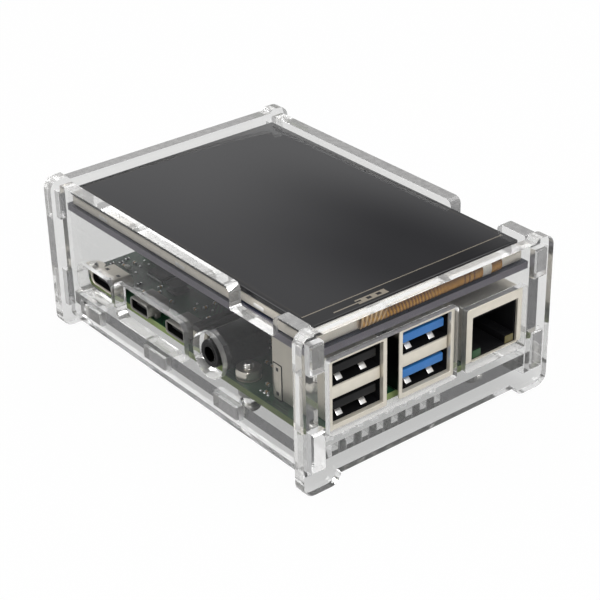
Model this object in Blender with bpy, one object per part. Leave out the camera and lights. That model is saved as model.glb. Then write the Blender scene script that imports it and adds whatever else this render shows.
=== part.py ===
"""Credit-card sized computer with a plug-on touch screen in a slot-together clear case.

The feet of the case stand on Z = 0. X runs to the end with the data ports, Y to the
side with the pin header. Positions on the main board are given from its corner at the
power port, its card end and port side edges, and from its top face.
"""
import bpy
import bmesh
from math import atan2, cos, pi, radians, sin, tan
from mathutils import Matrix, Vector

MM = 0.001

# clearances
SEAT = 0.3 * MM            # between a piece and what it rests on
CASE_GAP = 0.3 * MM        # between the boards and the case sheets
SLOT_GAP = 0.3 * MM        # around a tab in its slot
BORE_GAP = 0.3 * MM        # around a screw shank
CARD_GAP = 0.3 * MM        # around the memory card in its slot

# main board
BOARD_LENGTH = 85.0 * MM
BOARD_WIDTH = 56.0 * MM
BOARD_THICKNESS = 1.5 * MM
BOARD_CORNER = 3.0 * MM
HOLE_INSET = 3.5 * MM
HOLE_SPACING_X = 58.0 * MM
HOLE_SPACING_Y = 49.0 * MM

# clear case
SHEET = 2.9 * MM
BASE_HEIGHT = 5.6 * MM     # feet to the underside of the base plate
SPACER_GAP = 3.0 * MM      # base plate to board
FOOT_DEPTH = 2.4 * MM      # feet below the lower edge of the end panels
FOOT_WIDTH = 8.2 * MM
END_SKIRT = 3.2 * MM       # end panels below the base plate
SIDE_SKIRT = 2.5 * MM      # side panels below the base plate
EAR_REACH = 2.2 * MM       # end panels beyond the side panels
EAR_WIDTH = 4.6 * MM
EAR_RISE = 0.8 * MM
EAR_RADIUS = 2.6 * MM
SIDE_RIM = 1.1 * MM        # side panels above the screen
PORT_END_RIM = 0.6 * MM
CARD_END_RIM = 1.5 * MM
TAB_PROUD = 0.4 * MM       # tabs beyond the sheet they pass through
UPPER_TAB = (-1.8 * MM, 4.4 * MM)    # levels from the underside of the screen board
LOWER_TAB = (-7.6 * MM, 1.0 * MM)    # levels from the main board's top face
BASE_TAB_LENGTH = 8.0 * MM
BASE_SIDE_TABS = (9.0 * MM, 34.5 * MM, 60.0 * MM)
NOTCH_START = 22.2 * MM    # finger notch, from the port end of the board
NOTCH_LENGTH = 14.0 * MM
NOTCH_DEPTH = 4.9 * MM
NOTCH_RADIUS = 1.6 * MM
VENT_COUNT = 8
VENT_PITCH = 3.9 * MM
VENT_SIZE = (4.6 * MM, 1.9 * MM)
VENT_INSET = 2.6 * MM
VENT_FIRST = 5.0 * MM

# fasteners
SHANK_RADIUS = 1.1 * MM
SCREW_TIP = 3.2 * MM       # screw end above the board
HEAD_RADIUS = 2.3 * MM
HEAD_HEIGHT = 1.5 * MM
NUT_ACROSS = 5.0 * MM
NUT_HEIGHT = 1.9 * MM
SPACER_RADIUS = 2.3 * MM

# ports on the port side, centres along the board
SIDE_PORT_OVERHANG = 1.2 * MM
POWER_PORT_X = 11.2 * MM
POWER_PORT_SIZE = (8.94 * MM, 7.35 * MM, 3.2 * MM)
POWER_CUTOUT = (14.0 * MM, 7.0 * MM)
VIDEO_PORT_X = (26.0 * MM, 39.5 * MM)
VIDEO_PORT_SIZE = (6.8 * MM, 7.5 * MM, 3.1 * MM)
VIDEO_CUTOUT_MARGIN = 3.0 * MM
VIDEO_CUTOUT_Z = (-2.9 * MM, 6.8 * MM)
AUDIO_X = 54.0 * MM
AUDIO_BODY = (7.0 * MM, 12.0 * MM, 6.2 * MM)
AUDIO_BARREL_RADIUS = 3.1 * MM
AUDIO_BARREL_LENGTH = 2.5 * MM
AUDIO_BORE_RADIUS = 1.8 * MM
AUDIO_CUTOUT_RADIUS = 5.2 * MM
PORT_WALL = 0.35 * MM

# ports on the end
DATA_EDGE = 2.45 * MM      # near stack from the port side edge
DATA_SPACING = 4.9 * MM    # between the two stacks
DATA_PORT_WIDTH = 13.1 * MM
DATA_PORT_HEIGHT = 14.7 * MM
DATA_PORT_DEPTH = 16.2 * MM
DATA_OVERHANG = 2.2 * MM
DATA_WALL = 0.3 * MM
DATA_FLANGE = 0.85 * MM
DATA_FLANGE_THICKNESS = 0.4 * MM
DATA_OPENING = 5.3 * MM
DATA_LOWER_MOUTH = 0.3 * MM    # lower mouth above the shell's underside
DATA_BAR = 2.8 * MM            # bar between the two mouths
DATA_CUTOUT_MARGIN = 0.35 * MM
DATA_TONGUE_INSET = 1.35 * MM
END_CUTOUT_BOTTOM = -1.3 * MM
NETWORK_EDGE = 10.25 * MM  # jack centre from the pin header edge
NETWORK_SIZE = (21.2 * MM, 16.0 * MM, 12.6 * MM)
NETWORK_OVERHANG = 2.5 * MM
NETWORK_MARGIN = 0.6 * MM
NETWORK_OPENING = (12.4 * MM, 10.3 * MM)

# pin header and flat cable connectors
PIN_PITCH = 2.54 * MM
PIN_COLUMNS = 20
PIN_SIDE = 0.64 * MM
PIN_TOP = 8.5 * MM
HEADER_BASE = 2.5 * MM
HEADER_X = 32.5 * MM
CABLE_CONNECTOR = (2.7 * MM, 22.0 * MM, 4.0 * MM)
LATCH_HEIGHT = 1.3 * MM

# memory card
CARD_SIZE = (15.0 * MM, 11.0 * MM, 0.7 * MM)
CARD_STICKOUT = 2.2 * MM
CARD_SLOT_WALL = 0.4 * MM
CARD_SLOT_LENGTH = 12.0 * MM

# plug-on screen
SCREEN_CLEARANCE = 1.2 * MM    # data ports to the screen board
SCREEN_BOARD_THICKNESS = 1.6 * MM
SCREEN_FRAME_HEIGHT = 2.0 * MM
SCREEN_GLASS_THICKNESS = 1.3 * MM
SCREEN_END_INSET = 1.1 * MM
SCREEN_SIDE_INSET = 0.45 * MM
SCREEN_FRAME_INSET = 0.35 * MM
SOCKET_COLUMNS = 13
SOCKET_BORE = 1.3 * MM
RIBBON_WIDTH = 37.6 * MM
RIBBON_Y = 29.7 * MM
RIBBON_THICKNESS = 0.25 * MM

# levels that follow, from the board's top face
SCREEN_LIFT = SEAT + DATA_PORT_HEIGHT + SCREEN_CLEARANCE
BOARD_LEVEL = BASE_HEIGHT + SHEET + SPACER_GAP + BOARD_THICKNESS
BASE_TOP = -BOARD_THICKNESS - SPACER_GAP
BASE_BOTTOM = BASE_TOP - SHEET
SCREEN_BOARD_TOP = SCREEN_LIFT + SCREEN_BOARD_THICKNESS
FRAME_BOTTOM = SCREEN_BOARD_TOP + SEAT
FRAME_TOP = FRAME_BOTTOM + SCREEN_FRAME_HEIGHT
GLASS_BOTTOM = FRAME_TOP + SEAT
GLASS_TOP = GLASS_BOTTOM + SCREEN_GLASS_THICKNESS
SIDE_TOP = GLASS_TOP + SIDE_RIM
NEAR_FACE = -CASE_GAP      # inner faces of the case sheets
FAR_FACE = BOARD_WIDTH + CASE_GAP
CARD_FACE = -CASE_GAP
PORT_FACE = BOARD_LENGTH + CASE_GAP
NETWORK_Y = BOARD_WIDTH - NETWORK_EDGE
HEADER_Y = BOARD_WIDTH - HOLE_INSET
NEAR_STACK_Y = DATA_EDGE + DATA_PORT_WIDTH / 2
FAR_STACK_Y = NEAR_STACK_Y + DATA_PORT_WIDTH + DATA_SPACING
UPPER_TAB_SPAN = (SCREEN_LIFT + UPPER_TAB[0], SCREEN_LIFT + UPPER_TAB[1])

for item in list(bpy.data.objects):
    bpy.data.objects.remove(item, do_unlink=True)


def collection(name):
    made = bpy.data.collections.new(name)
    bpy.context.scene.collection.children.link(made)
    return made


PARTS = collection("single_board_computer")
CUTTERS = collection("cutters")


def material(name, colour, rough, metal=0.0, alpha=1.0):
    made = bpy.data.materials.new(name)
    made.use_nodes = True
    shader = made.node_tree.nodes["Principled BSDF"]
    shader.inputs["Base Color"].default_value = (*colour, 1.0)
    shader.inputs["Roughness"].default_value = rough
    shader.inputs["Metallic"].default_value = metal
    shader.inputs["Alpha"].default_value = alpha
    return made


CLEAR = ((0.86, 0.87, 0.86), 0.08, 0.0, 0.35)
STEEL = ((0.62, 0.60, 0.55), 0.32, 1.0)
BLACK = ((0.02, 0.02, 0.022), 0.45)
CHIP = ((0.03, 0.03, 0.032), 0.4)
GREEN = ((0.03, 0.14, 0.05), 0.4)
NAVY = ((0.02, 0.025, 0.05), 0.4)
BRASS = ((0.75, 0.58, 0.26), 0.3, 1.0)
IVORY = ((0.75, 0.72, 0.64), 0.5)


def place(x, y, z):
    """World position of a point given from the board's corner and top face."""
    return Vector((x - BOARD_LENGTH / 2, y - BOARD_WIDTH / 2, z + BOARD_LEVEL))


def settle(item, finish, group, at=(0, 0, 0), turn=(0, 0, 0)):
    for other in list(item.users_collection):
        other.objects.unlink(item)
    group.objects.link(item)
    item.location = at
    item.rotation_euler = turn
    if group is CUTTERS:
        item.hide_render = True
        item.display_type = "WIRE"
    else:
        item.data.materials.clear()
        item.data.materials.append(material(item.name, *finish))
    return item


def box(name, x, y, z, finish=None):
    """Box between pairs of positions on the board."""
    bpy.ops.mesh.primitive_cube_add(size=1.0)
    item = bpy.context.object
    item.name = item.data.name = name
    size = Vector((x[1] - x[0], y[1] - y[0], z[1] - z[0]))
    item.data.transform(Matrix.Diagonal((*size, 1.0)))
    middle = place(*((a + b) / 2 for a, b in (x, y, z)))
    return settle(item, finish, PARTS if finish else CUTTERS, middle)


def round_bar(name, radius, length, at, turn=(0, 0, 0), finish=None, sides=24):
    bpy.ops.mesh.primitive_cylinder_add(vertices=sides, radius=radius, depth=length)
    item = bpy.context.object
    item.name = item.data.name = name
    if finish:
        item.data.shade_smooth()
        item.data.set_sharp_from_angle(angle=radians(40))
    return settle(item, finish, PARTS if finish else CUTTERS, at, turn)


def cut(item, *cutters):
    for cutter in cutters:
        step = item.modifiers.new("cut_" + cutter.name, "BOOLEAN")
        step.operation = "DIFFERENCE"
        step.solver = "EXACT"
        step.object = cutter
    return item


def join(item, *others):
    for other in others:
        step = item.modifiers.new("join_" + other.name, "BOOLEAN")
        step.operation = "UNION"
        step.solver = "EXACT"
        step.object = other
    return item


def rect(x, y, radius=0.0):
    return [(x[0], y[0], radius), (x[1], y[0], radius), (x[1], y[1], radius), (x[0], y[1], radius)]


def circle(x, y, radius, sides=28):
    return [(x + radius * cos(2 * pi * k / sides), y + radius * sin(2 * pi * k / sides), 0.0) for k in range(sides)]


def rounded(corners, steps=8):
    """Outline through the corners, with an arc of each corner's own radius."""
    points = []
    for k, (x, y, radius) in enumerate(corners):
        here = Vector((x, y))
        if radius <= 0:
            points.append(here)
            continue
        back = (Vector(corners[k - 1][:2]) - here).normalized()
        ahead = (Vector(corners[(k + 1) % len(corners)][:2]) - here).normalized()
        half = back.angle(ahead) / 2
        centre = here + (back + ahead).normalized() * radius / sin(half)
        first = here + back * radius / tan(half) - centre
        last = here + ahead * radius / tan(half) - centre
        start = atan2(first.y, first.x)
        sweep = (atan2(last.y, last.x) - start + pi) % (2 * pi) - pi
        points += [centre + radius * Vector((cos(start + sweep * s / steps), sin(start + sweep * s / steps)))
                   for s in range(steps + 1)]
    return points


def sheet(name, outline, holes, thickness, at, turn, finish=None):
    """Flat sheet from a 2D outline with holes, as thick as given."""
    curve = bpy.data.curves.new(name, "CURVE")
    curve.dimensions = "2D"
    curve.fill_mode = "BOTH"
    curve.extrude = thickness / 2 / MM
    for loop in [outline, *holes]:
        points = rounded(loop)
        spline = curve.splines.new("POLY")
        spline.points.add(len(points) - 1)
        for point, co in zip(spline.points, points):
            point.co = (co.x / MM, co.y / MM, 0.0, 1.0)
        spline.use_cyclic_u = True
    flat = bpy.data.objects.new(name + "_outline", curve)
    bpy.context.scene.collection.objects.link(flat)
    bpy.context.view_layer.update()
    mesh = bpy.data.meshes.new_from_object(flat.evaluated_get(bpy.context.evaluated_depsgraph_get()))
    bpy.data.objects.remove(flat, do_unlink=True)
    bpy.data.curves.remove(curve)
    body = bmesh.new()
    body.from_mesh(mesh)
    bmesh.ops.remove_doubles(body, verts=body.verts, dist=0.001)
    bmesh.ops.recalc_face_normals(body, faces=body.faces)
    bmesh.ops.scale(body, vec=(MM, MM, MM), verts=body.verts)
    body.to_mesh(mesh)
    body.free()
    mesh.name = name
    item = bpy.data.objects.new(name, mesh)
    bpy.context.scene.collection.objects.link(item)
    return settle(item, finish, PARTS if finish else CUTTERS, at, turn)


UPRIGHT_END = (pi / 2, 0, pi / 2)    # outline's x along Y, its y along Z, facing +X
UPRIGHT_SIDE = (pi / 2, 0, 0)        # outline's x along X, its y along Z, facing -Y

# ---------------------------------------------------------------- clear case
END_LOW = BASE_BOTTOM - END_SKIRT
FOOT_LOW = END_LOW - FOOT_DEPTH
NEAR_EDGE = NEAR_FACE - SHEET - EAR_REACH
FAR_EDGE = FAR_FACE + SHEET + EAR_REACH


def end_outline(top):
    """Outline of an end panel: ears above and feet below at both edges."""
    a, b, low, foot, ear = NEAR_EDGE, FAR_EDGE, END_LOW, FOOT_LOW, top + EAR_RISE
    r, small = EAR_RADIUS, 0.5 * MM
    return [
        (a, foot, r), (a + FOOT_WIDTH, foot, r * 0.9), (a + FOOT_WIDTH + 1.2 * MM, low, small),
        (b - FOOT_WIDTH - 1.2 * MM, low, small), (b - FOOT_WIDTH, foot, r * 0.9), (b, foot, r),
        (b, ear, r), (b - EAR_WIDTH, ear, 0.5 * MM), (b - EAR_WIDTH - 0.6 * MM, top, 0.2 * MM),
        (a + EAR_WIDTH + 0.6 * MM, top, 0.2 * MM), (a + EAR_WIDTH, ear, 0.5 * MM), (a, ear, r),
    ]


def slot(span, level):
    return rect((span[0] - SLOT_GAP, span[1] + SLOT_GAP), (level[0] - SLOT_GAP, level[1] + SLOT_GAP))


NEAR_SHEET = (NEAR_FACE - SHEET, NEAR_FACE)
FAR_SHEET = (FAR_FACE, FAR_FACE + SHEET)
BASE_SPAN = (BASE_BOTTOM, BASE_TOP)
END_SLOTS = [slot(y, z) for y in (NEAR_SHEET, FAR_SHEET) for z in (UPPER_TAB_SPAN, LOWER_TAB)]

DATA_HALF = DATA_PORT_WIDTH / 2 + DATA_FLANGE
DATA_CUTOUT = rect(
    (NEAR_STACK_Y - DATA_HALF - DATA_CUTOUT_MARGIN, FAR_STACK_Y + DATA_HALF + DATA_CUTOUT_MARGIN),
    (END_CUTOUT_BOTTOM, SEAT + DATA_PORT_HEIGHT + DATA_CUTOUT_MARGIN + 0.2 * MM), 0.6 * MM)
NETWORK_HALF = NETWORK_SIZE[1] / 2 + NETWORK_MARGIN
NETWORK_CUTOUT = rect(
    (NETWORK_Y - NETWORK_HALF, NETWORK_Y + NETWORK_HALF),
    (END_CUTOUT_BOTTOM, SEAT + NETWORK_SIZE[2] + NETWORK_MARGIN), 0.6 * MM)
CARD_CENTRE_Y = BOARD_WIDTH / 2
CARD_MIDDLE_Z = -BOARD_THICKNESS - SEAT - CARD_SLOT_WALL - CARD_GAP - CARD_SIZE[2] / 2
CARD_WINDOW = rect(
    (CARD_CENTRE_Y - CARD_SIZE[1] / 2 - 1.5 * MM, CARD_CENTRE_Y + CARD_SIZE[1] / 2 + 1.5 * MM),
    (CARD_MIDDLE_Z - 1.6 * MM, CARD_MIDDLE_Z + 1.6 * MM), 0.5 * MM)

sheet("port_end_panel", end_outline(GLASS_TOP + PORT_END_RIM), END_SLOTS + [DATA_CUTOUT, NETWORK_CUTOUT], SHEET,
      place(PORT_FACE + SHEET / 2, 0, 0), UPRIGHT_END, CLEAR)
sheet("card_end_panel", end_outline(GLASS_TOP + CARD_END_RIM), END_SLOTS + [CARD_WINDOW], SHEET,
      place(CARD_FACE - SHEET / 2, 0, 0), UPRIGHT_END, CLEAR)

SIDE_LOW = BASE_BOTTOM - SIDE_SKIRT
SIDE_BODY = (CARD_FACE + CASE_GAP, PORT_FACE - CASE_GAP)
TAB_ENDS = (CARD_FACE - SHEET - TAB_PROUD, PORT_FACE + SHEET + TAB_PROUD)


def side_outline():
    """Outline of a side panel: two tabs at each end and a finger notch in its top edge."""
    (x0, x1), (t0, t1), r = SIDE_BODY, TAB_ENDS, NOTCH_RADIUS
    n1 = BOARD_LENGTH - NOTCH_START + NOTCH_LENGTH
    n0, floor = n1 - NOTCH_LENGTH, SIDE_TOP - NOTCH_DEPTH
    (l0, l1), (u0, u1), s = LOWER_TAB, UPPER_TAB_SPAN, 0.2 * MM
    return [
        (x0, SIDE_LOW, 0.8 * MM), (x1, SIDE_LOW, 0.8 * MM),
        (x1, l0, 0), (t1, l0, s), (t1, l1, s), (x1, l1, 0), (x1, u0, 0), (t1, u0, s), (t1, u1, s), (x1, u1, 0),
        (x1, SIDE_TOP, 0.5 * MM), (n1, SIDE_TOP, r), (n1, floor, 0.5 * MM), (n0, floor, 0.5 * MM), (n0, SIDE_TOP, r),
        (x0, SIDE_TOP, 0.5 * MM),
        (x0, u1, 0), (t0, u1, s), (t0, u0, s), (x0, u0, 0), (x0, l1, 0), (t0, l1, s), (t0, l0, s), (x0, l0, 0),
    ]


SIDE_SLOTS = [slot((x - BASE_TAB_LENGTH / 2, x + BASE_TAB_LENGTH / 2), BASE_SPAN) for x in BASE_SIDE_TABS]
POWER_MIDDLE = SEAT + POWER_PORT_SIZE[2] / 2
PORT_CUTOUTS = [
    rect((POWER_PORT_X - POWER_CUTOUT[0] / 2, POWER_PORT_X + POWER_CUTOUT[0] / 2),
         (POWER_MIDDLE - POWER_CUTOUT[1] / 2, POWER_MIDDLE + POWER_CUTOUT[1] / 2), 2.4 * MM),
    rect((VIDEO_PORT_X[0] - VIDEO_PORT_SIZE[0] / 2 - VIDEO_CUTOUT_MARGIN,
          VIDEO_PORT_X[1] + VIDEO_PORT_SIZE[0] / 2 + VIDEO_CUTOUT_MARGIN), VIDEO_CUTOUT_Z, 2.0 * MM),
    circle(AUDIO_X + 0.3 * MM, SEAT + AUDIO_BODY[2] / 2, AUDIO_CUTOUT_RADIUS, 36),
]
sheet("port_side_panel", side_outline(), SIDE_SLOTS + PORT_CUTOUTS, SHEET,
      place(0, NEAR_FACE - SHEET / 2, 0), UPRIGHT_SIDE, CLEAR)
sheet("plain_side_panel", side_outline(), SIDE_SLOTS, SHEET,
      place(0, FAR_FACE + SHEET / 2, 0), UPRIGHT_SIDE, CLEAR)

HOLES = [(HOLE_INSET + i * HOLE_SPACING_X, HOLE_INSET + j * HOLE_SPACING_Y) for i in (0, 1) for j in (0, 1)]


def base_outline():
    """Outline of the base plate with its tabs through the side panels."""
    (x0, x1), (y0, y1) = SIDE_BODY, (NEAR_FACE + CASE_GAP, FAR_FACE - CASE_GAP)
    half, s = BASE_TAB_LENGTH / 2, 0.2 * MM
    n0, n1 = NEAR_SHEET[0] - TAB_PROUD, FAR_SHEET[1] + TAB_PROUD
    points = [(x0, y0, 0)]
    for x in BASE_SIDE_TABS:
        points += [(x - half, y0, 0), (x - half, n0, s), (x + half, n0, s), (x + half, y0, 0)]
    points += [(x1, y0, 0), (x1, y1, 0)]
    for x in reversed(BASE_SIDE_TABS):
        points += [(x + half, y1, 0), (x + half, n1, s), (x - half, n1, s), (x - half, y1, 0)]
    points += [(x0, y1, 0)]
    return points


VENT_END = BOARD_LENGTH - VENT_INSET
VENTS = [rect((VENT_END - VENT_SIZE[0], VENT_END),
              (VENT_FIRST + k * VENT_PITCH - VENT_SIZE[1] / 2, VENT_FIRST + k * VENT_PITCH + VENT_SIZE[1] / 2), 0.4 * MM)
         for k in range(VENT_COUNT)]
sheet("base_plate", base_outline(), [circle(x, y, SHANK_RADIUS + BORE_GAP, 20) for x, y in HOLES] + VENTS, SHEET,
      place(0, 0, (BASE_TOP + BASE_BOTTOM) / 2), (0, 0, 0), CLEAR)

# ---------------------------------------------------------------- fasteners
for number, (x, y) in enumerate(HOLES, 1):
    low, high = BASE_BOTTOM - SEAT, SCREW_TIP
    shank = round_bar(f"shank_{number}", SHANK_RADIUS, high - low + 0.4 * MM,
                      place(x, y, (high + low - 0.4 * MM) / 2), sides=20)
    head = round_bar(f"board_screw_{number}", HEAD_RADIUS, HEAD_HEIGHT, place(x, y, low - HEAD_HEIGHT / 2), finish=STEEL)
    drive = [box(f"drive_{number}_{k}", (x - w / 2, x + w / 2), (y - d / 2, y + d / 2),
                 (low - HEAD_HEIGHT - SEAT, low - HEAD_HEIGHT + 0.8 * MM))
             for k, (w, d) in enumerate(((2.6 * MM, 0.6 * MM), (0.6 * MM, 2.6 * MM)))]
    cut(join(head, shank), *drive)
    across = NUT_ACROSS / 2 / cos(pi / 6)
    sheet(f"board_nut_{number}", circle(0, 0, across, 6), [circle(0, 0, SHANK_RADIUS + BORE_GAP, 20)], NUT_HEIGHT,
          place(x, y, SEAT + NUT_HEIGHT / 2), (0, 0, radians(12)), STEEL)
    length = SPACER_GAP - 2 * SEAT
    sheet(f"board_spacer_{number}", circle(0, 0, SPACER_RADIUS, 24), [circle(0, 0, SHANK_RADIUS + BORE_GAP, 20)], length,
          place(x, y, BASE_TOP + SEAT + length / 2), (0, 0, 0), IVORY)

# ---------------------------------------------------------------- main board
sheet("main_board", rect((0, BOARD_LENGTH), (0, BOARD_WIDTH), BOARD_CORNER),
      [circle(x, y, SHANK_RADIUS + BORE_GAP, 20) for x, y in HOLES], BOARD_THICKNESS,
      place(0, 0, -BOARD_THICKNESS / 2), (0, 0, 0), GREEN)


def chip(name, x, y, wide, deep, high, finish=CHIP, level=SEAT):
    return box(name, (x - wide / 2, x + wide / 2), (y - deep / 2, y + deep / 2), (level, level + high), finish)


chip("processor_base", 29.3 * MM, 32.5 * MM, 15.0 * MM, 15.0 * MM, 0.9 * MM, GREEN)
chip("processor_cap", 29.3 * MM, 32.5 * MM, 13.2 * MM, 13.2 * MM, 1.1 * MM, STEEL, SEAT + 0.9 * MM + SEAT)
chip("memory_chip", 45.3 * MM, 32.5 * MM, 11.0 * MM, 14.6 * MM, 0.9 * MM)
chip("port_controller_chip", 58.6 * MM, 34.0 * MM, 7.0 * MM, 7.0 * MM, 0.9 * MM)
chip("network_chip", 53.0 * MM, 45.0 * MM, 6.6 * MM, 6.6 * MM, 0.9 * MM)
chip("power_chip", 14.5 * MM, 15.5 * MM, 6.0 * MM, 6.0 * MM, 0.9 * MM)
chip("power_inductor", 22.6 * MM, 13.2 * MM, 4.2 * MM, 4.2 * MM, 2.0 * MM, BLACK)
chip("timing_crystal", 42.0 * MM, 44.5 * MM, 3.4 * MM, 2.6 * MM, 0.8 * MM, STEEL)
chip("status_light", 6.5 * MM, 10.6 * MM, 1.6 * MM, 0.9 * MM, 0.7 * MM, IVORY)
chip("radio_shield", 13.0 * MM, 44.4 * MM, 12.0 * MM, 9.6 * MM, 1.8 * MM, STEEL)


def pins(name, centre_x, centre_y, columns, finish_base):
    """Two rows of square pins standing in a moulded strip."""
    half, deep = columns * PIN_PITCH / 2, PIN_PITCH
    body = box(name, (centre_x - half, centre_x + half), (centre_y - deep, centre_y + deep),
               (SEAT, SEAT + HEADER_BASE), finish_base)
    grid = bmesh.new()
    for column in range(columns):
        for row in (-1, 1):
            x = (column - (columns - 1) / 2) * PIN_PITCH
            low, high = SEAT + HEADER_BASE - 0.5 * MM, PIN_TOP
            at = Matrix.Translation((x, row * PIN_PITCH / 2, (low + high) / 2))
            bmesh.ops.create_cube(grid, size=1.0, matrix=at @ Matrix.Diagonal((PIN_SIDE, PIN_SIDE, high - low, 1.0)))
    mesh = bpy.data.meshes.new(name + "_pins")
    grid.to_mesh(mesh)
    grid.free()
    rods = bpy.data.objects.new(name + "_pins", mesh)
    bpy.context.scene.collection.objects.link(rods)
    settle(rods, None, CUTTERS, place(centre_x, centre_y, 0))
    return join(body, rods)


pins("pin_header", HEADER_X, HEADER_Y, PIN_COLUMNS, BLACK)
pins("four_pin_header", 61.3 * MM, 45.8 * MM, 2, BLACK)


def cable_connector(name, x, y):
    """Flat cable connector: a slotted body with a latch bar that lifts off its top."""
    wide, deep, high = CABLE_CONNECTOR
    body = box(name + "_connector", (x - wide / 2, x + wide / 2), (y - deep / 2, y + deep / 2), (SEAT, SEAT + high), IVORY)
    cut(body, box(name + "_cable_slot", (x - 0.35 * MM, x + 0.35 * MM), (y - deep / 2 + 1.6 * MM, y + deep / 2 - 1.6 * MM),
                  (SEAT + 1.0 * MM, SEAT + high + 1.0 * MM)))
    top = SEAT + high + SEAT
    latch = box(name + "_latch", (x - wide / 2, x + wide / 2), (y - deep / 2, y + deep / 2),
                (top, top + LATCH_HEIGHT), CHIP)
    cut(latch, box(name + "_latch_slot", (x - 0.45 * MM, x + 0.45 * MM), (y - deep / 2 + 1.4 * MM, y + deep / 2 - 1.4 * MM),
                   (top - 1.0 * MM, top + LATCH_HEIGHT + 1.0 * MM)))


cable_connector("camera", 46.6 * MM, 12.4 * MM)
cable_connector("display", 4.2 * MM, BOARD_WIDTH / 2)

# ---------------------------------------------------------------- ports on the port side


def hollow_port(name, x, size, corner, tongue):
    """Sheet metal port mouth facing -Y, with its contact tongue inside."""
    wide, deep, high = size
    front = -SIDE_PORT_OVERHANG
    middle = SEAT + high / 2
    shell = sheet(name + "_shell", rect((-wide / 2, wide / 2), (-high / 2, high / 2), corner), [], deep,
                  place(x, front + deep / 2, middle), UPRIGHT_SIDE, STEEL)
    inner = (wide - 2 * PORT_WALL, high - 2 * PORT_WALL)
    cavity = sheet(name + "_cavity", rect((-inner[0] / 2, inner[0] / 2), (-inner[1] / 2, inner[1] / 2),
                                          max(corner - PORT_WALL, 0.1 * MM)), [], deep - PORT_WALL + 1.0 * MM,
                   place(x, front + (deep - PORT_WALL - 1.0 * MM) / 2, middle), UPRIGHT_SIDE)
    cut(shell, cavity)
    back = front + deep - PORT_WALL - SEAT
    block = box(name + "_tongue", (x - inner[0] / 2 + SEAT, x + inner[0] / 2 - SEAT), (back - 1.6 * MM, back),
                (middle - inner[1] / 2 + SEAT, middle + inner[1] / 2 - SEAT), BLACK)
    join(block, box(name + "_blade", (x - tongue[0] / 2, x + tongue[0] / 2), (front + 0.9 * MM, back - 1.0 * MM),
                    (middle - tongue[1] / 2, middle + tongue[1] / 2)))


hollow_port("power_port", POWER_PORT_X, POWER_PORT_SIZE, 1.45 * MM, (6.6 * MM, 0.7 * MM))
for number, x in enumerate(VIDEO_PORT_X, 1):
    hollow_port(f"video_port_{number}", x, VIDEO_PORT_SIZE, 0.7 * MM, (4.6 * MM, 0.6 * MM))

AUDIO_AXIS = SEAT + AUDIO_BODY[2] / 2
audio = box("audio_jack", (AUDIO_X - AUDIO_BODY[0] / 2, AUDIO_X + AUDIO_BODY[0] / 2), (0, AUDIO_BODY[1]),
            (SEAT, SEAT + AUDIO_BODY[2]), BLACK)
join(audio, round_bar("audio_barrel", AUDIO_BARREL_RADIUS, AUDIO_BARREL_LENGTH + 1.0 * MM,
                      place(AUDIO_X, (1.0 * MM - AUDIO_BARREL_LENGTH) / 2, AUDIO_AXIS), (pi / 2, 0, 0), sides=32))
cut(audio, round_bar("audio_bore", AUDIO_BORE_RADIUS, AUDIO_BARREL_LENGTH + AUDIO_BODY[1],
                     place(AUDIO_X, (AUDIO_BODY[1] - AUDIO_BARREL_LENGTH) / 2 - 1.0 * MM, AUDIO_AXIS), (pi / 2, 0, 0)))

# ---------------------------------------------------------------- ports on the end


def data_stack(name, y, finish):
    """Two ports one above the other in one sheet metal shell, tongues on a common block."""
    front = BOARD_LENGTH + DATA_OVERHANG
    back = front - DATA_PORT_DEPTH
    half, wall = DATA_PORT_WIDTH / 2, DATA_WALL
    low, high = SEAT, SEAT + DATA_PORT_HEIGHT
    shell = box(name + "_shell", (back, front), (y - half, y + half), (low, high), STEEL)
    flange = box(name + "_flange", (front - DATA_FLANGE_THICKNESS, front + 0.3 * MM),
                 (y - half - DATA_FLANGE, y + half + DATA_FLANGE), (low - 0.9 * MM, high + 0.2 * MM))
    first = low + DATA_LOWER_MOUTH
    second = first + DATA_OPENING + DATA_BAR
    levels = ((first, first + DATA_OPENING), (second, second + DATA_OPENING))
    cavities = [box(f"{name}_mouth_{k}", (back + 3.2 * MM, front + 2.0 * MM), (y - half + wall, y + half - wall), z)
                for k, z in enumerate(levels)]
    rear = box(name + "_rear", (back + wall, back + 4.2 * MM), (y - half + wall, y + half - wall), (low + wall, high - wall))
    cut(join(shell, flange), *cavities, rear)
    block = box(name + "_insert", (back + wall + SEAT, back + 3.0 * MM), (y - half + wall + SEAT, y + half - wall - SEAT),
                (low + wall + SEAT, high - wall - SEAT), finish)
    for k, (z0, z1) in enumerate(levels):
        # tongue above the middle of each mouth, contacts on its underside
        tongue = (z1 - 2.4 * MM, z1 - 0.45 * MM)
        reach = half - DATA_TONGUE_INSET
        join(block, box(f"{name}_tongue_{k}", (back + 2.0 * MM, front - 1.6 * MM), (y - reach, y + reach), tongue))


data_stack("data_stack_near", NEAR_STACK_Y, BLACK)
data_stack("data_stack_far", FAR_STACK_Y, ((0.03, 0.15, 0.5), 0.4))

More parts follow.
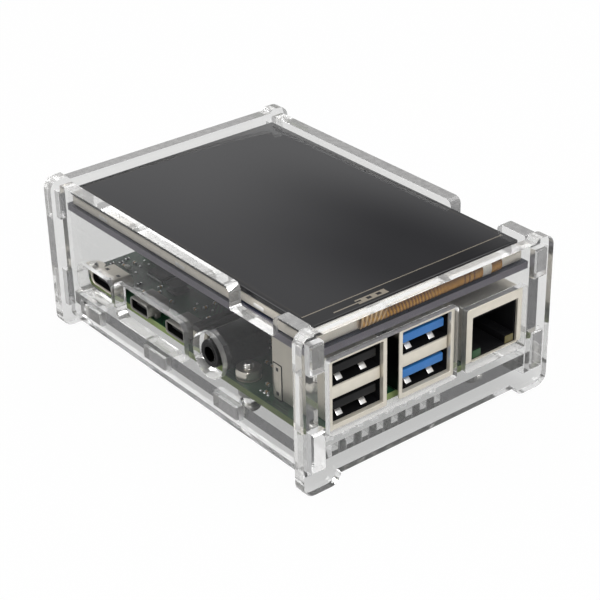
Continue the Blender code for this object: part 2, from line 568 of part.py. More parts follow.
front, (deep, wide, high) = BOARD_LENGTH + NETWORK_OVERHANG, NETWORK_SIZE
open_wide, open_high = NETWORK_OPENING
jack = box("network_jack_shell", (front - deep, front), (NETWORK_Y - wide / 2, NETWORK_Y + wide / 2), (SEAT, SEAT + high), STEEL)
opening = ((NETWORK_Y - open_wide / 2 - 0.2 * MM, NETWORK_Y + open_wide / 2 + 0.2 * MM),
           (SEAT + 0.45 * MM, SEAT + 0.45 * MM + open_high))
cut(jack, box("network_room", (front - deep + 0.5 * MM, front + 1.0 * MM), *opening))
insert = box("network_jack_insert", (front - deep + 0.8 * MM, front - 0.7 * MM),
             (opening[0][0] + SEAT, opening[0][1] - SEAT), (opening[1][0] + SEAT, opening[1][1] - SEAT), BLACK)
mouth = [box(f"plug_space_{k}", (front - 13.5 * MM, front + 1.0 * MM), (NETWORK_Y - w / 2, NETWORK_Y + w / 2), z)
         for k, (w, z) in enumerate(((11.0 * MM, (SEAT + 2.9 * MM, SEAT + 9.9 * MM)),
                                     (6.0 * MM, (SEAT + 1.5 * MM, SEAT + 3.4 * MM)),
                                     (3.4 * MM, (SEAT + 1.05 * MM, SEAT + 2.0 * MM))))]
cut(insert, *mouth)

# ---------------------------------------------------------------- memory card
wide = CARD_SIZE[1] / 2 + CARD_GAP
level = (CARD_MIDDLE_Z - CARD_SIZE[2] / 2 - CARD_GAP, CARD_MIDDLE_Z + CARD_SIZE[2] / 2 + CARD_GAP)
card_end = CARD_SIZE[0] - CARD_STICKOUT
holder = box("card_slot", (card_end - CARD_SLOT_LENGTH, card_end + CARD_GAP + CARD_SLOT_WALL),
             (CARD_CENTRE_Y - wide - CARD_SLOT_WALL, CARD_CENTRE_Y + wide + CARD_SLOT_WALL),
             (level[0] - CARD_SLOT_WALL, level[1] + CARD_SLOT_WALL), STEEL)
cut(holder, box("card_room", (card_end - CARD_SLOT_LENGTH - 1.0 * MM, card_end + CARD_GAP),
                (CARD_CENTRE_Y - wide, CARD_CENTRE_Y + wide), level))
sheet("memory_card",
      [(-CARD_STICKOUT, -CARD_SIZE[1] / 2, 0.6 * MM), (card_end, -CARD_SIZE[1] / 2, 0.6 * MM),
       (card_end, CARD_SIZE[1] / 2 - 1.4 * MM, 0.3 * MM), (card_end - 6.4 * MM, CARD_SIZE[1] / 2 - 1.4 * MM, 0.2 * MM),
       (card_end - 7.8 * MM, CARD_SIZE[1] / 2, 0.2 * MM), (-CARD_STICKOUT, CARD_SIZE[1] / 2, 0.6 * MM)],
      [], CARD_SIZE[2], place(0, CARD_CENTRE_Y, CARD_MIDDLE_Z), (0, 0, 0), BLACK)

# ---------------------------------------------------------------- plug-on screen
box("screen_board", (0, BOARD_LENGTH), (0.2 * MM, BOARD_WIDTH - 0.2 * MM), (SCREEN_LIFT, SCREEN_BOARD_TOP), NAVY)
glass_x = (SCREEN_END_INSET, BOARD_LENGTH - SCREEN_END_INSET)
glass_y = (SCREEN_SIDE_INSET, BOARD_WIDTH - SCREEN_SIDE_INSET)
box("screen_glass", glass_x, glass_y, (GLASS_BOTTOM, GLASS_TOP), BLACK)
box("screen_frame", glass_x, (glass_y[0] + SCREEN_FRAME_INSET, glass_y[1] - SCREEN_FRAME_INSET), (FRAME_BOTTOM, FRAME_TOP), STEEL)

# ribbon from the glass down to the screen board: half a ring in section
bulge = (BOARD_LENGTH - CASE_GAP / 3) - (glass_x[1] + SEAT)
rise = (GLASS_BOTTOM + SCREEN_GLASS_THICKNESS * 0.45 - FRAME_BOTTOM) / 2
arc = [radians(a) for a in range(-90, 91, 15)]
outer = [(bulge * cos(a), rise * sin(a), 0.0) for a in arc]
inner = [((bulge - RIBBON_THICKNESS) * cos(a), (rise - RIBBON_THICKNESS) * sin(a), 0.0) for a in reversed(arc)]
sheet("screen_ribbon", outer + inner, [], RIBBON_WIDTH,
      place(glass_x[1] + SEAT, RIBBON_Y, FRAME_BOTTOM + rise), UPRIGHT_SIDE, ((0.45, 0.2, 0.05), 0.35))

socket_x = (HEADER_X - PIN_COLUMNS * PIN_PITCH / 2, HEADER_X - PIN_COLUMNS * PIN_PITCH / 2 + SOCKET_COLUMNS * PIN_PITCH)
socket_low = SEAT + HEADER_BASE + SEAT
socket = box("screen_socket", socket_x, (HEADER_Y - PIN_PITCH, HEADER_Y + PIN_PITCH), (socket_low, SCREEN_LIFT - SEAT), BLACK)
bores = bmesh.new()
for column in range(SOCKET_COLUMNS):
    for row in (-1, 1):
        at = Matrix.Translation(((column + 0.5) * PIN_PITCH, row * PIN_PITCH / 2, 0))
        height = 2 * (PIN_TOP - socket_low + 1.0 * MM)
        bmesh.ops.create_cube(bores, size=1.0, matrix=at @ Matrix.Diagonal((SOCKET_BORE, SOCKET_BORE, height, 1.0)))
mesh = bpy.data.meshes.new("socket_bores")
bores.to_mesh(mesh)
bores.free()
holes = bpy.data.objects.new("socket_bores", mesh)
bpy.context.scene.collection.objects.link(holes)
settle(holes, None, CUTTERS, place(socket_x[0], HEADER_Y, socket_low))
cut(socket, holes)
chip("screen_driver_chip", 50.0 * MM, 28.0 * MM, 7.0 * MM, 7.0 * MM, 1.0 * MM, CHIP, SCREEN_LIFT - SEAT - 1.0 * MM)
chip("touch_chip", 24.0 * MM, 30.0 * MM, 4.4 * MM, 5.0 * MM, 1.0 * MM, CHIP, SCREEN_LIFT - SEAT - 1.0 * MM)
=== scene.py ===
"""Looks of a small single board computer with a plug-on touch screen in a clear slot-together case.

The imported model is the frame. Each operator finishes one piece or group of like pieces around it: some
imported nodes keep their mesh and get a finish, others are stood in for by finer surfaces. Sizes here are in
millimetres in the model's own frame, and become metres when a mesh is made.
"""

from math import cos, pi, radians, sin

import bmesh
import bpy
import numpy as np
from mathutils import Matrix, Vector


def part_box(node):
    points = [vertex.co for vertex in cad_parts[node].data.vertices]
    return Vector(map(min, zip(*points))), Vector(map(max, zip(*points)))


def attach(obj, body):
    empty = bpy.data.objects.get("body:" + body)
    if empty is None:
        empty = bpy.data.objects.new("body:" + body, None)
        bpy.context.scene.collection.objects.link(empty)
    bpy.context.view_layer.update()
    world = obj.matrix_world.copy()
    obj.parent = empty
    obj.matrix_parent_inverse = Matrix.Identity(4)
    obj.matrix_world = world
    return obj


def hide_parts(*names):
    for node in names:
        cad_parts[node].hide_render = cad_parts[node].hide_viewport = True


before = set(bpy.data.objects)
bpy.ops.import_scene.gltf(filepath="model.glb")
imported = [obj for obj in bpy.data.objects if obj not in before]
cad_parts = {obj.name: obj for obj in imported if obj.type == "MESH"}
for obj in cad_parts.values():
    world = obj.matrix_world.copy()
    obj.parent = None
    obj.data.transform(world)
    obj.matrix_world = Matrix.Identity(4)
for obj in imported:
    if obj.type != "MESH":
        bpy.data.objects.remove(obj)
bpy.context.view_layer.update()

bl_info = {
    "name": "Cased computer with touch screen",
    "version": (1, 0, 0),
    "blender": (4, 5, 0),
    "location": "View3D > Sidebar > Computer",
    "description": "Finishes a small computer, its touch screen and its clear case",
    "category": "Object",
}

MM = 0.001

# meshes
WELD = 1e-6                   # metres between points that are one
FLAT = radians(1.0)           # faces that are one face
ARRIS = 0.12                  # bevel of a sheet's arrises
ARRIS_ANGLE = radians(50)
SHARP_SHEET = radians(30)
SHARP_PIECE = radians(35)

# each sheet of the case and the axis that its faces are square to
CASE_SHEETS = {"port_end_panel": 0, "card_end_panel": 0, "port_side_panel": 1, "plain_side_panel": 1,
               "base_plate": 2}
FASTENERS = (1, 2, 3, 4)

# which way a piece faces: its own two section axes and the axis it is built along
FACINGS = {
    "up": ((1, 0, 0), (0, 1, 0), (0, 0, 1)),
    "port end": ((0, 1, 0), (0, 0, 1), (1, 0, 0)),
    "port side": ((1, 0, 0), (0, 0, 1), (0, -1, 0)),
}


# ---------------------------------------------------------------- places taken from the frame
def corners(node):
    """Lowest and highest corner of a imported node, in millimetres."""
    low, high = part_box(node)
    return np.array(low) / MM, np.array(high) / MM


def seat(node):
    """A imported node's size, and the middle of its underside."""
    low, high = corners(node)
    middle = (low + high) / 2
    return high - low, np.array((middle[0], middle[1], low[2]))


BOARD_LOW, BOARD_HIGH = corners("main_board")


def at(x, y):
    """Point of the board's top face, given from its corner at the power port."""
    return np.array((BOARD_LOW[0] + x, BOARD_LOW[1] + y, BOARD_HIGH[2]))


# ---------------------------------------------------------------- surfaces
def skin(rings, closed=False):
    """Closed surface over a grid of points: row i holds one ring, joined to row i + 1 by quads.

    The last point of a ring joins its first. The end rings are filled, or joined when the rows close too.
    """
    rows, around = rings.shape[:2]
    row, column = np.meshgrid(np.arange(rows if closed else rows - 1), np.arange(around), indexing="ij")
    after, beside = (row + 1) % rows, (column + 1) % around
    quads = np.stack([row * around + column, row * around + beside,
                      after * around + beside, after * around + column], -1).reshape(-1, 4).tolist()
    if not closed:
        quads.append(list(range(around))[::-1])
        quads.append([(rows - 1) * around + k for k in range(around)])
    return rings.reshape(-1, 3), quads


def stand(shape, origin, facing="up"):
    """Turns a shape's own axes to a facing and moves its origin."""
    points, faces = shape
    return np.asarray(origin, float) + points @ np.array(FACINGS[facing], float), faces


def joined(*shapes):
    """Several shapes as one, each keeping its own closed surface."""
    counts = np.cumsum([0] + [len(points) for points, _ in shapes])
    faces = [[v + int(start) for v in face] for (_, some), start in zip(shapes, counts) for face in some]
    return np.concatenate([points for points, _ in shapes]), faces


def copies(shape, shifts):
    """The shape repeated at every shift."""
    points, faces = shape
    shifts = np.asarray(shifts, float)
    moved = (points[None] + shifts[:, None]).reshape(-1, 3)
    steps = range(0, len(points) * len(shifts), len(points))
    return moved, [[v + step for v in face] for step in steps for face in faces]


def ring(wide, deep, radius, height, shift=(0.0, 0.0), steps=5):
    """Rounded rectangle: a quarter circle about each corner's centre, set in by the radius."""
    radius = min(max(radius, 0.01), wide / 2 - 1e-4, deep / 2 - 1e-4)
    turn = np.linspace(0, pi / 2, steps + 1) + np.arange(4)[:, None] * pi / 2
    side, end = np.array((1, -1, -1, 1))[:, None], np.array((1, 1, -1, -1))[:, None]
    u = side * (wide / 2 - radius) + radius * np.cos(turn) + shift[0]
    v = end * (deep / 2 - radius) + radius * np.sin(turn) + shift[1]
    return np.stack([u.ravel(), v.ravel(), np.full(u.size, height)], -1)


def loft(rows, origin, facing="up", steps=5, closed=False):
    """Surface through rounded rectangles. A row is wide, deep, corner radius, height and maybe a shift."""
    return stand(skin(np.array([ring(*row, steps=steps) for row in rows]), closed), origin, facing)


def inset_rows(wide, deep, *profile):
    """Rows of a loft from a profile of insets across, corner radii and heights."""
    return [(wide - inset, deep - inset, radius, height) for inset, radius, height in profile]


def edge_rows(tall, edge, steps):
    """Inset and height of a block's rows: a quarter circle in from each end face to the sides."""
    turn = np.linspace(0, pi / 2, steps)
    low = np.stack([edge * (1 - np.sin(turn)), edge * (1 - np.cos(turn)) - tall / 2], -1)
    high = np.stack([edge * (1 - np.cos(turn)), tall / 2 - edge * (1 - np.sin(turn))], -1)
    return np.concatenate([low, high])


def block(low, high, corner=0.15, edge=0.1, facing="up", steps=3):
    """Box between two corners, with round corners about its facing axis and quarter-round end edges."""
    low, high = np.asarray(low, float), np.asarray(high, float)
    wide, deep, tall = np.abs(np.array(FACINGS[facing], float) @ (high - low))
    rows = [(wide - 2 * inset, deep - 2 * inset, corner - inset, height)
            for inset, height in edge_rows(tall, edge, steps)]
    return loft(rows, (low + high) / 2, facing, steps=max(1, steps - 1))


def small_block(low, high, edge=0.05):
    """Box with plain chamfers, of few faces, for pieces that repeat."""
    return block(low, high, edge, edge, steps=2)


def turned(rows, origin, facing="up", sides=48, closed=False):
    """Surface of revolution: every row is a circle of that radius at that height."""
    rows = np.asarray(rows, float)
    turn = np.linspace(0, 2 * pi, sides, endpoint=False)
    rings = np.stack([rows[:, :1] * np.cos(turn), rows[:, :1] * np.sin(turn),
                      np.broadcast_to(rows[:, 1:], (len(rows), sides))], -1)
    return stand(skin(rings, closed), origin, facing)


def carried(section, path, across):
    """Closed section carried along a path: its first axis lies across, its second square to both."""
    path, across = np.asarray(path, float), np.asarray(across, float)
    along = np.gradient(path, axis=0)
    along /= np.linalg.norm(along, axis=1, keepdims=True)
    lift = np.cross(along, across)
    lift /= np.linalg.norm(lift, axis=1, keepdims=True)
    return skin(path[:, None] + section[None, :, :1] * across + section[None, :, 1:2] * lift[:, None])


def strip(wide, thick, steps=2):
    """Flat section with round edges."""
    return ring(wide, thick, thick / 2, 0.0, steps=steps)[:, :2]


def make_piece(name, shape, look, body="computer", stands_for=()):
    """Puts a shape into a mesh in metres and hands the piece to its body."""
    points, faces = shape
    mesh = bpy.data.meshes.new(name)
    mesh.from_pydata((points * MM).tolist(), [], faces)
    mesh.update()
    mesh.materials.append(look)
    mesh.shade_smooth()
    mesh.set_sharp_from_angle(angle=SHARP_PIECE)
    piece = bpy.data.objects.new(name, mesh)
    bpy.context.scene.collection.objects.link(piece)
    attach(piece, body)
    if stands_for:
        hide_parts(*stands_for)
    return piece


def bevelled_copy(name, node, look):
    """Stands a merged copy of a packed sheet in for it, with its arrises eased by a small bevel."""
    source = bmesh.new()
    source.from_mesh(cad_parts[node].data)
    bmesh.ops.remove_doubles(source, verts=source.verts, dist=WELD)
    bmesh.ops.dissolve_limit(source, angle_limit=FLAT, verts=source.verts, edges=source.edges)
    mesh = bpy.data.meshes.new(name)
    source.to_mesh(mesh)
    source.free()
    mesh.materials.clear()
    mesh.materials.append(look)
    mesh.shade_smooth()
    mesh.set_sharp_from_angle(angle=SHARP_SHEET)
    piece = bpy.data.objects.new(name, mesh)
    bpy.context.scene.collection.objects.link(piece)
    eased = piece.modifiers.new("eased arris", "BEVEL")
    eased.width = ARRIS * MM
    eased.segments = 2
    eased.limit_method = "ANGLE"
    eased.angle_limit = ARRIS_ANGLE
    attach(piece, "computer")
    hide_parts(node)
    return piece


def finish_node(node, look):
    """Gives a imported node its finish."""
    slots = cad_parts[node].material_slots
    for slot in slots:
        slot.material = look
    if not slots:
        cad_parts[node].data.materials.append(look)


# ---------------------------------------------------------------- shader helper
class Value:
    """One socket of a shader, written in sums: each operator adds a Math node."""

    def __init__(self, paint, socket):
        self.paint = paint
        self.socket = socket

    def math(self, operation, *others):
        """A Math node on this value and the others."""
        return self.paint.node("ShaderNodeMath", {"operation": operation}, dict(enumerate((self, *others))))

    def __add__(self, other):
        return self.math("ADD", other)

    __radd__ = __add__

    def __mul__(self, other):
        return self.math("MULTIPLY", other)

    __rmul__ = __mul__

    def __sub__(self, other):
        return self.math("SUBTRACT", other)

    def __rsub__(self, other):
        return self * -1.0 + other

    def __abs__(self):
        return self.math("ABSOLUTE")

    def most(self, other):
        """The larger of two values."""
        return self.math("MAXIMUM", other)

    def wave(self, pitch):
        """Sine of the value, with one wave in each pitch."""
        return (self * (2 * pi / pitch)).math("SINE")

    def below(self, edge, soft=0.02):
        """1 where the value is under the edge, falling to 0 over a soft width."""
        return self.paint.node("ShaderNodeMapRange", {"interpolation_type": "SMOOTHSTEP"},
                               {0: self, 1: edge - soft, 2: edge + soft, 3: 1.0, 4: 0.0})

    def above(self, edge, soft=0.02):
        """1 where the value is over the edge, rising from 0 over a soft width."""
        return self.paint.node("ShaderNodeMapRange", {"interpolation_type": "SMOOTHSTEP"},
                               {0: self, 1: edge - soft, 2: edge + soft, 3: 0.0, 4: 1.0})

    def between(self, low, high, soft=0.02):
        """1 between two edges."""
        return self.above(low, soft) * self.below(high, soft)


class Paint:
    """The shader nodes of a new material, or more nodes in a tree that is there."""

    def __init__(self, name, tree=None):
        if tree is None:
            self.material = bpy.data.materials.new(name)
            self.material.use_nodes = True
            tree = self.material.node_tree
            tree.nodes.clear()
        self.tree = tree

    def node(self, kind, settings=None, sockets=None, out=0):
        """Adds a node: its type, its settings first, then the values or links of its sockets."""
        made = self.tree.nodes.new(kind)
        for key, value in (settings or {}).items():
            setattr(made, key, value)
        for key, value in (sockets or {}).items():
            self.feed(made.inputs[key], value)
        return Value(self, made.outputs[out])

    def feed(self, socket, value):
        """Links a socket to a value, or sets it."""
        if isinstance(value, Value):
            self.tree.links.new(value.socket, socket)
        elif socket.type == "RGBA" and len(value) == 3:
            socket.default_value = (*value, 1.0)
        else:
            socket.default_value = value

    def split(self, vector):
        """A vector's x, y and z."""
        parts = self.node("ShaderNodeSeparateXYZ", sockets={0: vector}).socket.node.outputs
        return [Value(self, part) for part in parts]

    def place(self):
        """Object coordinates as x, y, z in millimetres."""
        return [part * (1 / MM) for part in self.split(self.node("ShaderNodeTexCoord", out="Object"))]

    def facing(self, axis):
        """How squarely the surface faces along an axis of the piece, from 0 to 1."""
        return abs(self.split(self.node("ShaderNodeTexCoord", out="Normal"))[axis])

    def rays(self, *names):
        """What the light path tells about a ray."""
        told = self.node("ShaderNodeLightPath").socket.node.outputs
        return [Value(self, told[name]) for name in names]

    def noise(self, scale, detail=2.0, stretch=(1, 1, 1)):
        """Noise with so many cells in a millimetre, stretched along the axes."""
        spot = self.node("ShaderNodeTexCoord", out="Object")
        scales = [scale * s / MM for s in stretch]
        sized = self.node("ShaderNodeMapping", sockets={"Vector": spot, "Scale": scales})
        return self.node("ShaderNodeTexNoise", out="Fac",
                         sockets={"Vector": sized, "Scale": 1.0, "Detail": detail, "Roughness": 0.5})

    def mix(self, factor, first, second):
        """Blend of two colours."""
        return self.node("ShaderNodeMix", {"data_type": "RGBA"}, {0: factor, 6: first, 7: second}, out=2)

    def bump(self, height, distance, strength=1.0):
        """Normal raised by a height of 0 to 1 over a distance in millimetres."""
        return self.node("ShaderNodeBump", out="Normal",
                         sockets={"Height": height, "Distance": distance * MM, "Strength": strength})

    def principled(self, **sockets):
        """Principled shader; a socket's name is written with underscores."""
        named = {key.replace("_", " "): value for key, value in sockets.items()}
        return self.node("ShaderNodeBsdfPrincipled", sockets=named)

    def blend(self, factor, first, second):
        """One shader, and the other where the factor is 1."""
        return self.node("ShaderNodeMixShader", sockets={0: factor, 1: first, 2: second})

    def open_way(self, share):
        """Passes a share of the light straight on."""
        return self.node("ShaderNodeBsdfTransparent", sockets={"Color": (share, share, share)})

    def glow(self, *colour):
        """Shows one colour, whatever light falls on it."""
        return self.node("ShaderNodeEmission", sockets={"Color": colour, "Strength": 1.0})

    def done(self, shader):
        """Links the shader to the output and gives the material."""
        output = self.tree.nodes.new("ShaderNodeOutputMaterial")
        self.tree.links.new(shader.socket, output.inputs["Surface"])
        return self.material


# ---------------------------------------------------------------- finishes
SHEET_IOR = 1.49
LET_THROUGH = 0.55      # light that one sheet passes on to what stands behind it
LAST_BOUNCE = 4.5       # a ray that has met more surfaces than this goes straight on
TRACK_PITCH = 0.8       # tracks of a printed board
CELL_PITCH = 0.2        # cells of the picture area


def darker(colour, share):
    """A share of a colour."""
    return tuple(c * share for c in colour)


def clear_sheet(name, axis, tint, frost):
    """Clear cast sheet with faces square to one axis. Its cut edges are frosted and finely ridged."""
    paint = Paint(name)
    cut = paint.facing(axis).below(0.5, 0.3)
    ridges = paint.noise(2.4, 2.0, [0.1 if k == axis else 1.0 for k in range(3)])
    haze = paint.noise(0.8, 3.0)
    clear = paint.principled(Base_Color=tint, Roughness=cut * haze * 0.05, IOR=SHEET_IOR,
                             Transmission_Weight=1.0, Normal=paint.bump(ridges * cut, 0.04, 0.35))
    milky = paint.principled(Base_Color=(0.90, 0.89, 0.87), Roughness=0.35, IOR=SHEET_IOR,
                             Normal=paint.bump(ridges * cut, 0.1, 0.8))
    edged = paint.blend(cut * (0.5 + haze * 0.9) * frost, clear, milky)
    shadow, spread, depth = paint.rays("Is Shadow Ray", "Is Diffuse Ray", "Ray Depth")
    lasting = paint.blend(depth.above(LAST_BOUNCE, 0.1), edged, paint.open_way(1.0))
    return paint.done(paint.blend(shadow.most(spread), lasting, paint.open_way(LET_THROUGH)))


def sheet_metal(name, colour, rough=0.3, along=(1, 1, 0.15), stain=0.12, metal=0.6, gap=None):
    """Rolled sheet: streaks along the rolling, a slightly cloudy tin and faint dents.

    Its last argument is the front, the two sides and the top of a slot between cans, whose walls are painted
    near black: painted shade of the slot.
    """
    paint = Paint(name)
    streak = paint.noise(9.0, 2.0, along)
    cloud = paint.noise(0.5, 3.0)
    tint = paint.mix(cloud * 0.7 + streak * 0.3, darker(colour, 1 - 2 * stain), colour)
    if gap is not None:
        front, side, far_side, top = gap
        x, y, z = paint.place()
        # painted shade: near black on the walls of the slot between the cans, where shadow falls
        inside = x.below(front, 0.05) * y.between(side, far_side, 0.02) * z.below(top, 1.6)
        tint = paint.mix(inside, tint, (0.006, 0.007, 0.006))
    return paint.done(paint.principled(
        Base_Color=tint, Metallic=metal,
        Roughness=rough - 0.08 + streak * 0.1 + cloud * 0.1,
        Normal=paint.bump(streak + cloud * 2, 0.01, 0.25)))


def turned_steel(name, colour, rough=0.24):
    """Plated steel with fine tool marks round it."""
    paint = Paint(name)
    marks = paint.noise(6.0, 2.0, (0.4, 0.4, 4))
    cloud = paint.noise(0.8, 2.0)
    return paint.done(paint.principled(
        Base_Color=paint.mix(cloud, darker(colour, 0.82), colour), Metallic=1.0,
        Roughness=rough + marks * 0.14, Normal=paint.bump(marks, 0.01, 0.3)))


def moulding(name, colour, rough=0.42, grain=0.25, gloss=0.4):
    """Moulded plastic: a fine spark-eroded grain, a little lighter where it is handled."""
    paint = Paint(name)
    fine = paint.noise(14.0, 2.0)
    broad = paint.noise(0.6, 3.0)
    lighter = tuple(min(1.0, c * 1.25 + 0.004) for c in colour)
    return paint.done(paint.principled(
        Base_Color=paint.mix(broad, colour, lighter), Roughness=rough - 0.06 + fine * 0.08 + broad * 0.08,
        Specular_IOR_Level=gloss, Normal=paint.bump(fine, 0.01, grain)))


def gold_plate(name):
    """Thin gold plate over nickel, duller in patches."""
    paint = Paint(name)
    patch = paint.noise(1.5, 2.0)
    return paint.done(paint.principled(
        Base_Color=paint.mix(patch, (0.62, 0.44, 0.18), (0.86, 0.66, 0.32)), Metallic=1.0,
        Roughness=0.22 + patch * 0.15))


def solder(name):
    """Reflowed solder, bright with a dull skin in places."""
    paint = Paint(name)
    dull = paint.noise(3.0, 3.0)
    return paint.done(paint.principled(
        Base_Color=paint.mix(dull, (0.55, 0.56, 0.57), (0.86, 0.87, 0.88)), Metallic=0.9,
        Roughness=0.2 + dull * 0.25, Normal=paint.bump(dull, 0.03, 0.4)))


def board_finish(name, mask, copper, core):
    """Printed board: tracks and copper areas under a coloured mask, and a sawn glass-fibre edge."""
    paint = Paint(name)
    x, y, _ = paint.place()
    region = paint.noise(0.11, 1.0)
    along = y.wave(TRACK_PITCH).above(0.25, 0.2)
    across = x.wave(TRACK_PITCH).above(0.25, 0.2)
    slant = (x + y).wave(1.3).above(0.35, 0.2)
    tracks = along * region.below(0.46, 0.01) + across * region.above(0.55, 0.01) \
        + slant * region.between(0.46, 0.55, 0.01)
    pour = paint.noise(0.07, 0.0).above(0.53, 0.01)
    covered = (tracks * (1 - pour)).most(pour)
    fibres = paint.noise(2.5, 2.0, (1, 1, 3))
    edge = paint.facing(2).below(0.5, 0.1)
    top = paint.mix(covered, mask, copper)
    side = paint.mix(fibres, darker(core, 0.75), core)
    return paint.done(paint.principled(
        Base_Color=paint.mix(edge, top, side), Roughness=0.3 + edge * 0.3 + covered * 0.05,
        Normal=paint.bump(covered * (1 - edge) + fibres * edge, 0.035, 0.5)))


def screen_glass(name, off_colour, bezel_colour, line_colour):
    """Cover glass over a dark panel: black border, thin printed line round the picture area and a strip of
    contacts along the end with the ribbon."""
    paint = Paint(name)
    x, y, _ = paint.place()
    low, high = corners("screen_glass")
    left, right, near, far = low[0] + 1.6, high[0] - 4.2, low[1] + 1.2, high[1] - 1.2
    line_width, end_line_width = 0.2, 0.28
    inside = x.between(left, right, 0.03) * y.between(near, far, 0.03)
    grown = x.between(left - line_width, right + end_line_width, 0.03) \
        * y.between(near - line_width, far + line_width, 0.03)
    line = grown * (1 - inside) * (0.12 + x.above(right - 0.1, 0.05) * 0.7)
    from_end, from_side = x - BOARD_LOW[0], y - BOARD_LOW[1]
    pads_x, pads_y = 81.3, 13.2
    pads = from_end.between(pads_x, pads_x + 1.7) * from_side.between(pads_y, pads_y + 7.6)
    holes = (from_side - pads_y).wave(2.5).above(0.1, 0.05) * from_end.between(pads_x + 0.4, pads_x + 1.25)
    rail = from_end.between(pads_x + 0.9, pads_x + 1.2) * from_side.between(pads_y - 6.0, pads_y + 2.0)
    line = line.most(pads * (1 - holes)).most(rail)
    edge = paint.facing(2).below(0.5, 0.1)
    fleck = paint.noise(20.0, 1.0)
    cells = x.wave(CELL_PITCH) * y.wave(CELL_PITCH)
    picture = paint.mix(cells * 0.5 + 0.5, off_colour, darker(off_colour, 1.1))
    lined = paint.mix(line, paint.mix(inside, bezel_colour, picture), line_colour)
    return paint.done(paint.principled(Base_Color=paint.mix(edge, lined, (0.004, 0.004, 0.005)), IOR=1.47,
                                       Roughness=0.06 + edge * 0.2 + fleck * 0.01))


def ribbon_finish(name, film, copper):
    """Amber film over fine copper tracks.

    The tracks run square to the board's edge along the middle, spread out in arcs round one point at the near
    end, and lie under a white strip near the far end. The copper shows bright only in a band across the
    bend's middle, a painted highlight, and the near end's arcs are drawn in a pale gold that is partly
    painted highlight.
    """
    paint = Paint(name)
    _, y, z = paint.place()
    low, high = corners("screen_ribbon")
    from_side, height = y - BOARD_LOW[1], z - (low[2] + high[2]) / 2
    sway = paint.noise(0.3, 1.0)
    worn = paint.noise(0.9, 2.0)
    # painted highlight: a band across the middle of the bend where the copper tracks show bright, dark above
    # and below
    highlight_band = height.above(-1.2, 0.7) * height.below(0.5, 0.9)
    stripe = (y + height * 0.35 + sway * 0.9).wave(0.86).above(0.0, 0.7)
    far = from_side.above(31, 5.0)
    rings = y.wave(1.3).below(-0.5, 0.3) * from_side.between(37, 41.5)
    tracks_in_highlight = highlight_band * ((0.25 + stripe * 0.75) * (1 - far) + far * (0.35 + worn * 0.75)) * (1 - rings * 0.7)
    near_y, near_z = from_side - 19.5, height + 1.9
    arcs = (near_y * near_y + near_z * near_z).math("SQRT").wave(1.05).above(0.35, 0.35)
    # the arcs of tracks at the near end, drawn in pale gold: real tracks, with painted highlight in their
    # brightness
    fan_and_highlight = from_side.below(17.0, 1.2) * (arcs * 0.75 + worn * 0.3)
    tape = from_side.between(43.1, 45.5, 0.05)
    tracks = paint.mix(fan_and_highlight, paint.mix(tracks_in_highlight, film, copper), (1.0, 0.72, 0.40))
    return paint.done(paint.principled(
        Base_Color=paint.mix(tape, tracks, (0.80, 0.77, 0.70)), Roughness=0.2 + worn * 0.1,
        Coat_Weight=0.05, Metallic=tracks_in_highlight * 0.4, Normal=paint.bump(stripe * 0.6 + worn, 0.06, 0.5)))


def lit_lens(name, colour, glow):
    """Small diffusing lens of a light."""
    paint = Paint(name)
    depth = paint.noise(1.2, 2.0)
    dim = darker(colour, 0.6)
    return paint.done(paint.principled(
        Base_Color=paint.mix(depth, dim, colour), Roughness=0.3,
        Emission_Color=paint.mix(depth, dim, colour), Emission_Strength=glow))


FINISHES = {}


def finish(name, build, *values, **more):
    """The finish of that name, built the first time it is asked for."""
    if name not in FINISHES:
        FINISHES[name] = build(name, *values, **more)
    return FINISHES[name]


def tin():
    """Tinned sheet of the shells and cans."""
    return finish("tinned shell", sheet_metal, tuple(bpy.context.scene.port_looks.shell_colour))


def black():
    """Black moulded plastic."""
    return finish("black moulding", moulding, tuple(bpy.context.scene.port_looks.moulding_colour))


def jet():
    """Smooth black moulding of the audio jack and the slower ports."""
    return finish("jet moulding", moulding, (0.003, 0.003, 0.0035), 0.35, 0.15, 0.2)


def shade():
    """Unlit inside of a port."""
    return finish("port inside", moulding, (0.0015, 0.0015, 0.002), 0.7, 0.2, 0.08)


def gold():
    """Gold plated contacts."""
    return finish("gold contact", gold_plate)


def bright():
    """Solder and tinned ends."""
    return finish("solder", solder)


def epoxy():
    """Moulded bodies of the chips."""
    return finish("chip epoxy", moulding, (0.018, 0.018, 0.020), 0.5, 0.4)


# ---------------------------------------------------------------- sizes and colours a user would change
def colour_property(name, description, default):
    """Colour with a swatch in the sidebar."""
    return bpy.props.FloatVectorProperty(name=name, description=description, default=default,
                                         min=0.0, max=1.0, size=3, subtype="COLOR")


def angle_property(name, description, degrees):
    """Angle shown in degrees."""
    return bpy.props.FloatProperty(name=name, description=description, default=radians(degrees),
                                   subtype="ANGLE", unit="ROTATION")


class CaseLooks(bpy.types.PropertyGroup):
    tint: colour_property("Sheet tint", "Colour that the clear sheet leaves in what is behind it",
                          (0.975, 0.977, 0.975))
    frost: bpy.props.FloatProperty(
        name="Edge frost", description="How milky the cut edges are",
        default=0.2, min=0.0, max=1.0, subtype="FACTOR")


class BoardLooks(bpy.types.PropertyGroup):
    mask: colour_property("Mask colour", "Colour of the main board between its tracks", (0.004, 0.020, 0.011))
    copper: colour_property("Covered copper", "Colour of the main board over its copper",
                            (0.010, 0.065, 0.027))
    core: colour_property("Board edge", "Colour of the main board's sawn edge", (0.26, 0.34, 0.12))
    part_pitch: bpy.props.FloatProperty(
        name="Small part pitch", description="Spacing of the small parts on the board, in millimetres",
        default=2.3, min=1.5, max=6.0)


class PortLooks(bpy.types.PropertyGroup):
    shell_colour: colour_property("Shell colour", "Tinned sheet of the port shells", (0.80, 0.75, 0.65))
    moulding_colour: colour_property("Moulding colour", "Black moulded inserts", (0.006, 0.006, 0.007))
    fast_port_colour: colour_property("Fast port colour", "Moulded tongues of the far stack",
                                      (0.021, 0.125, 0.35))


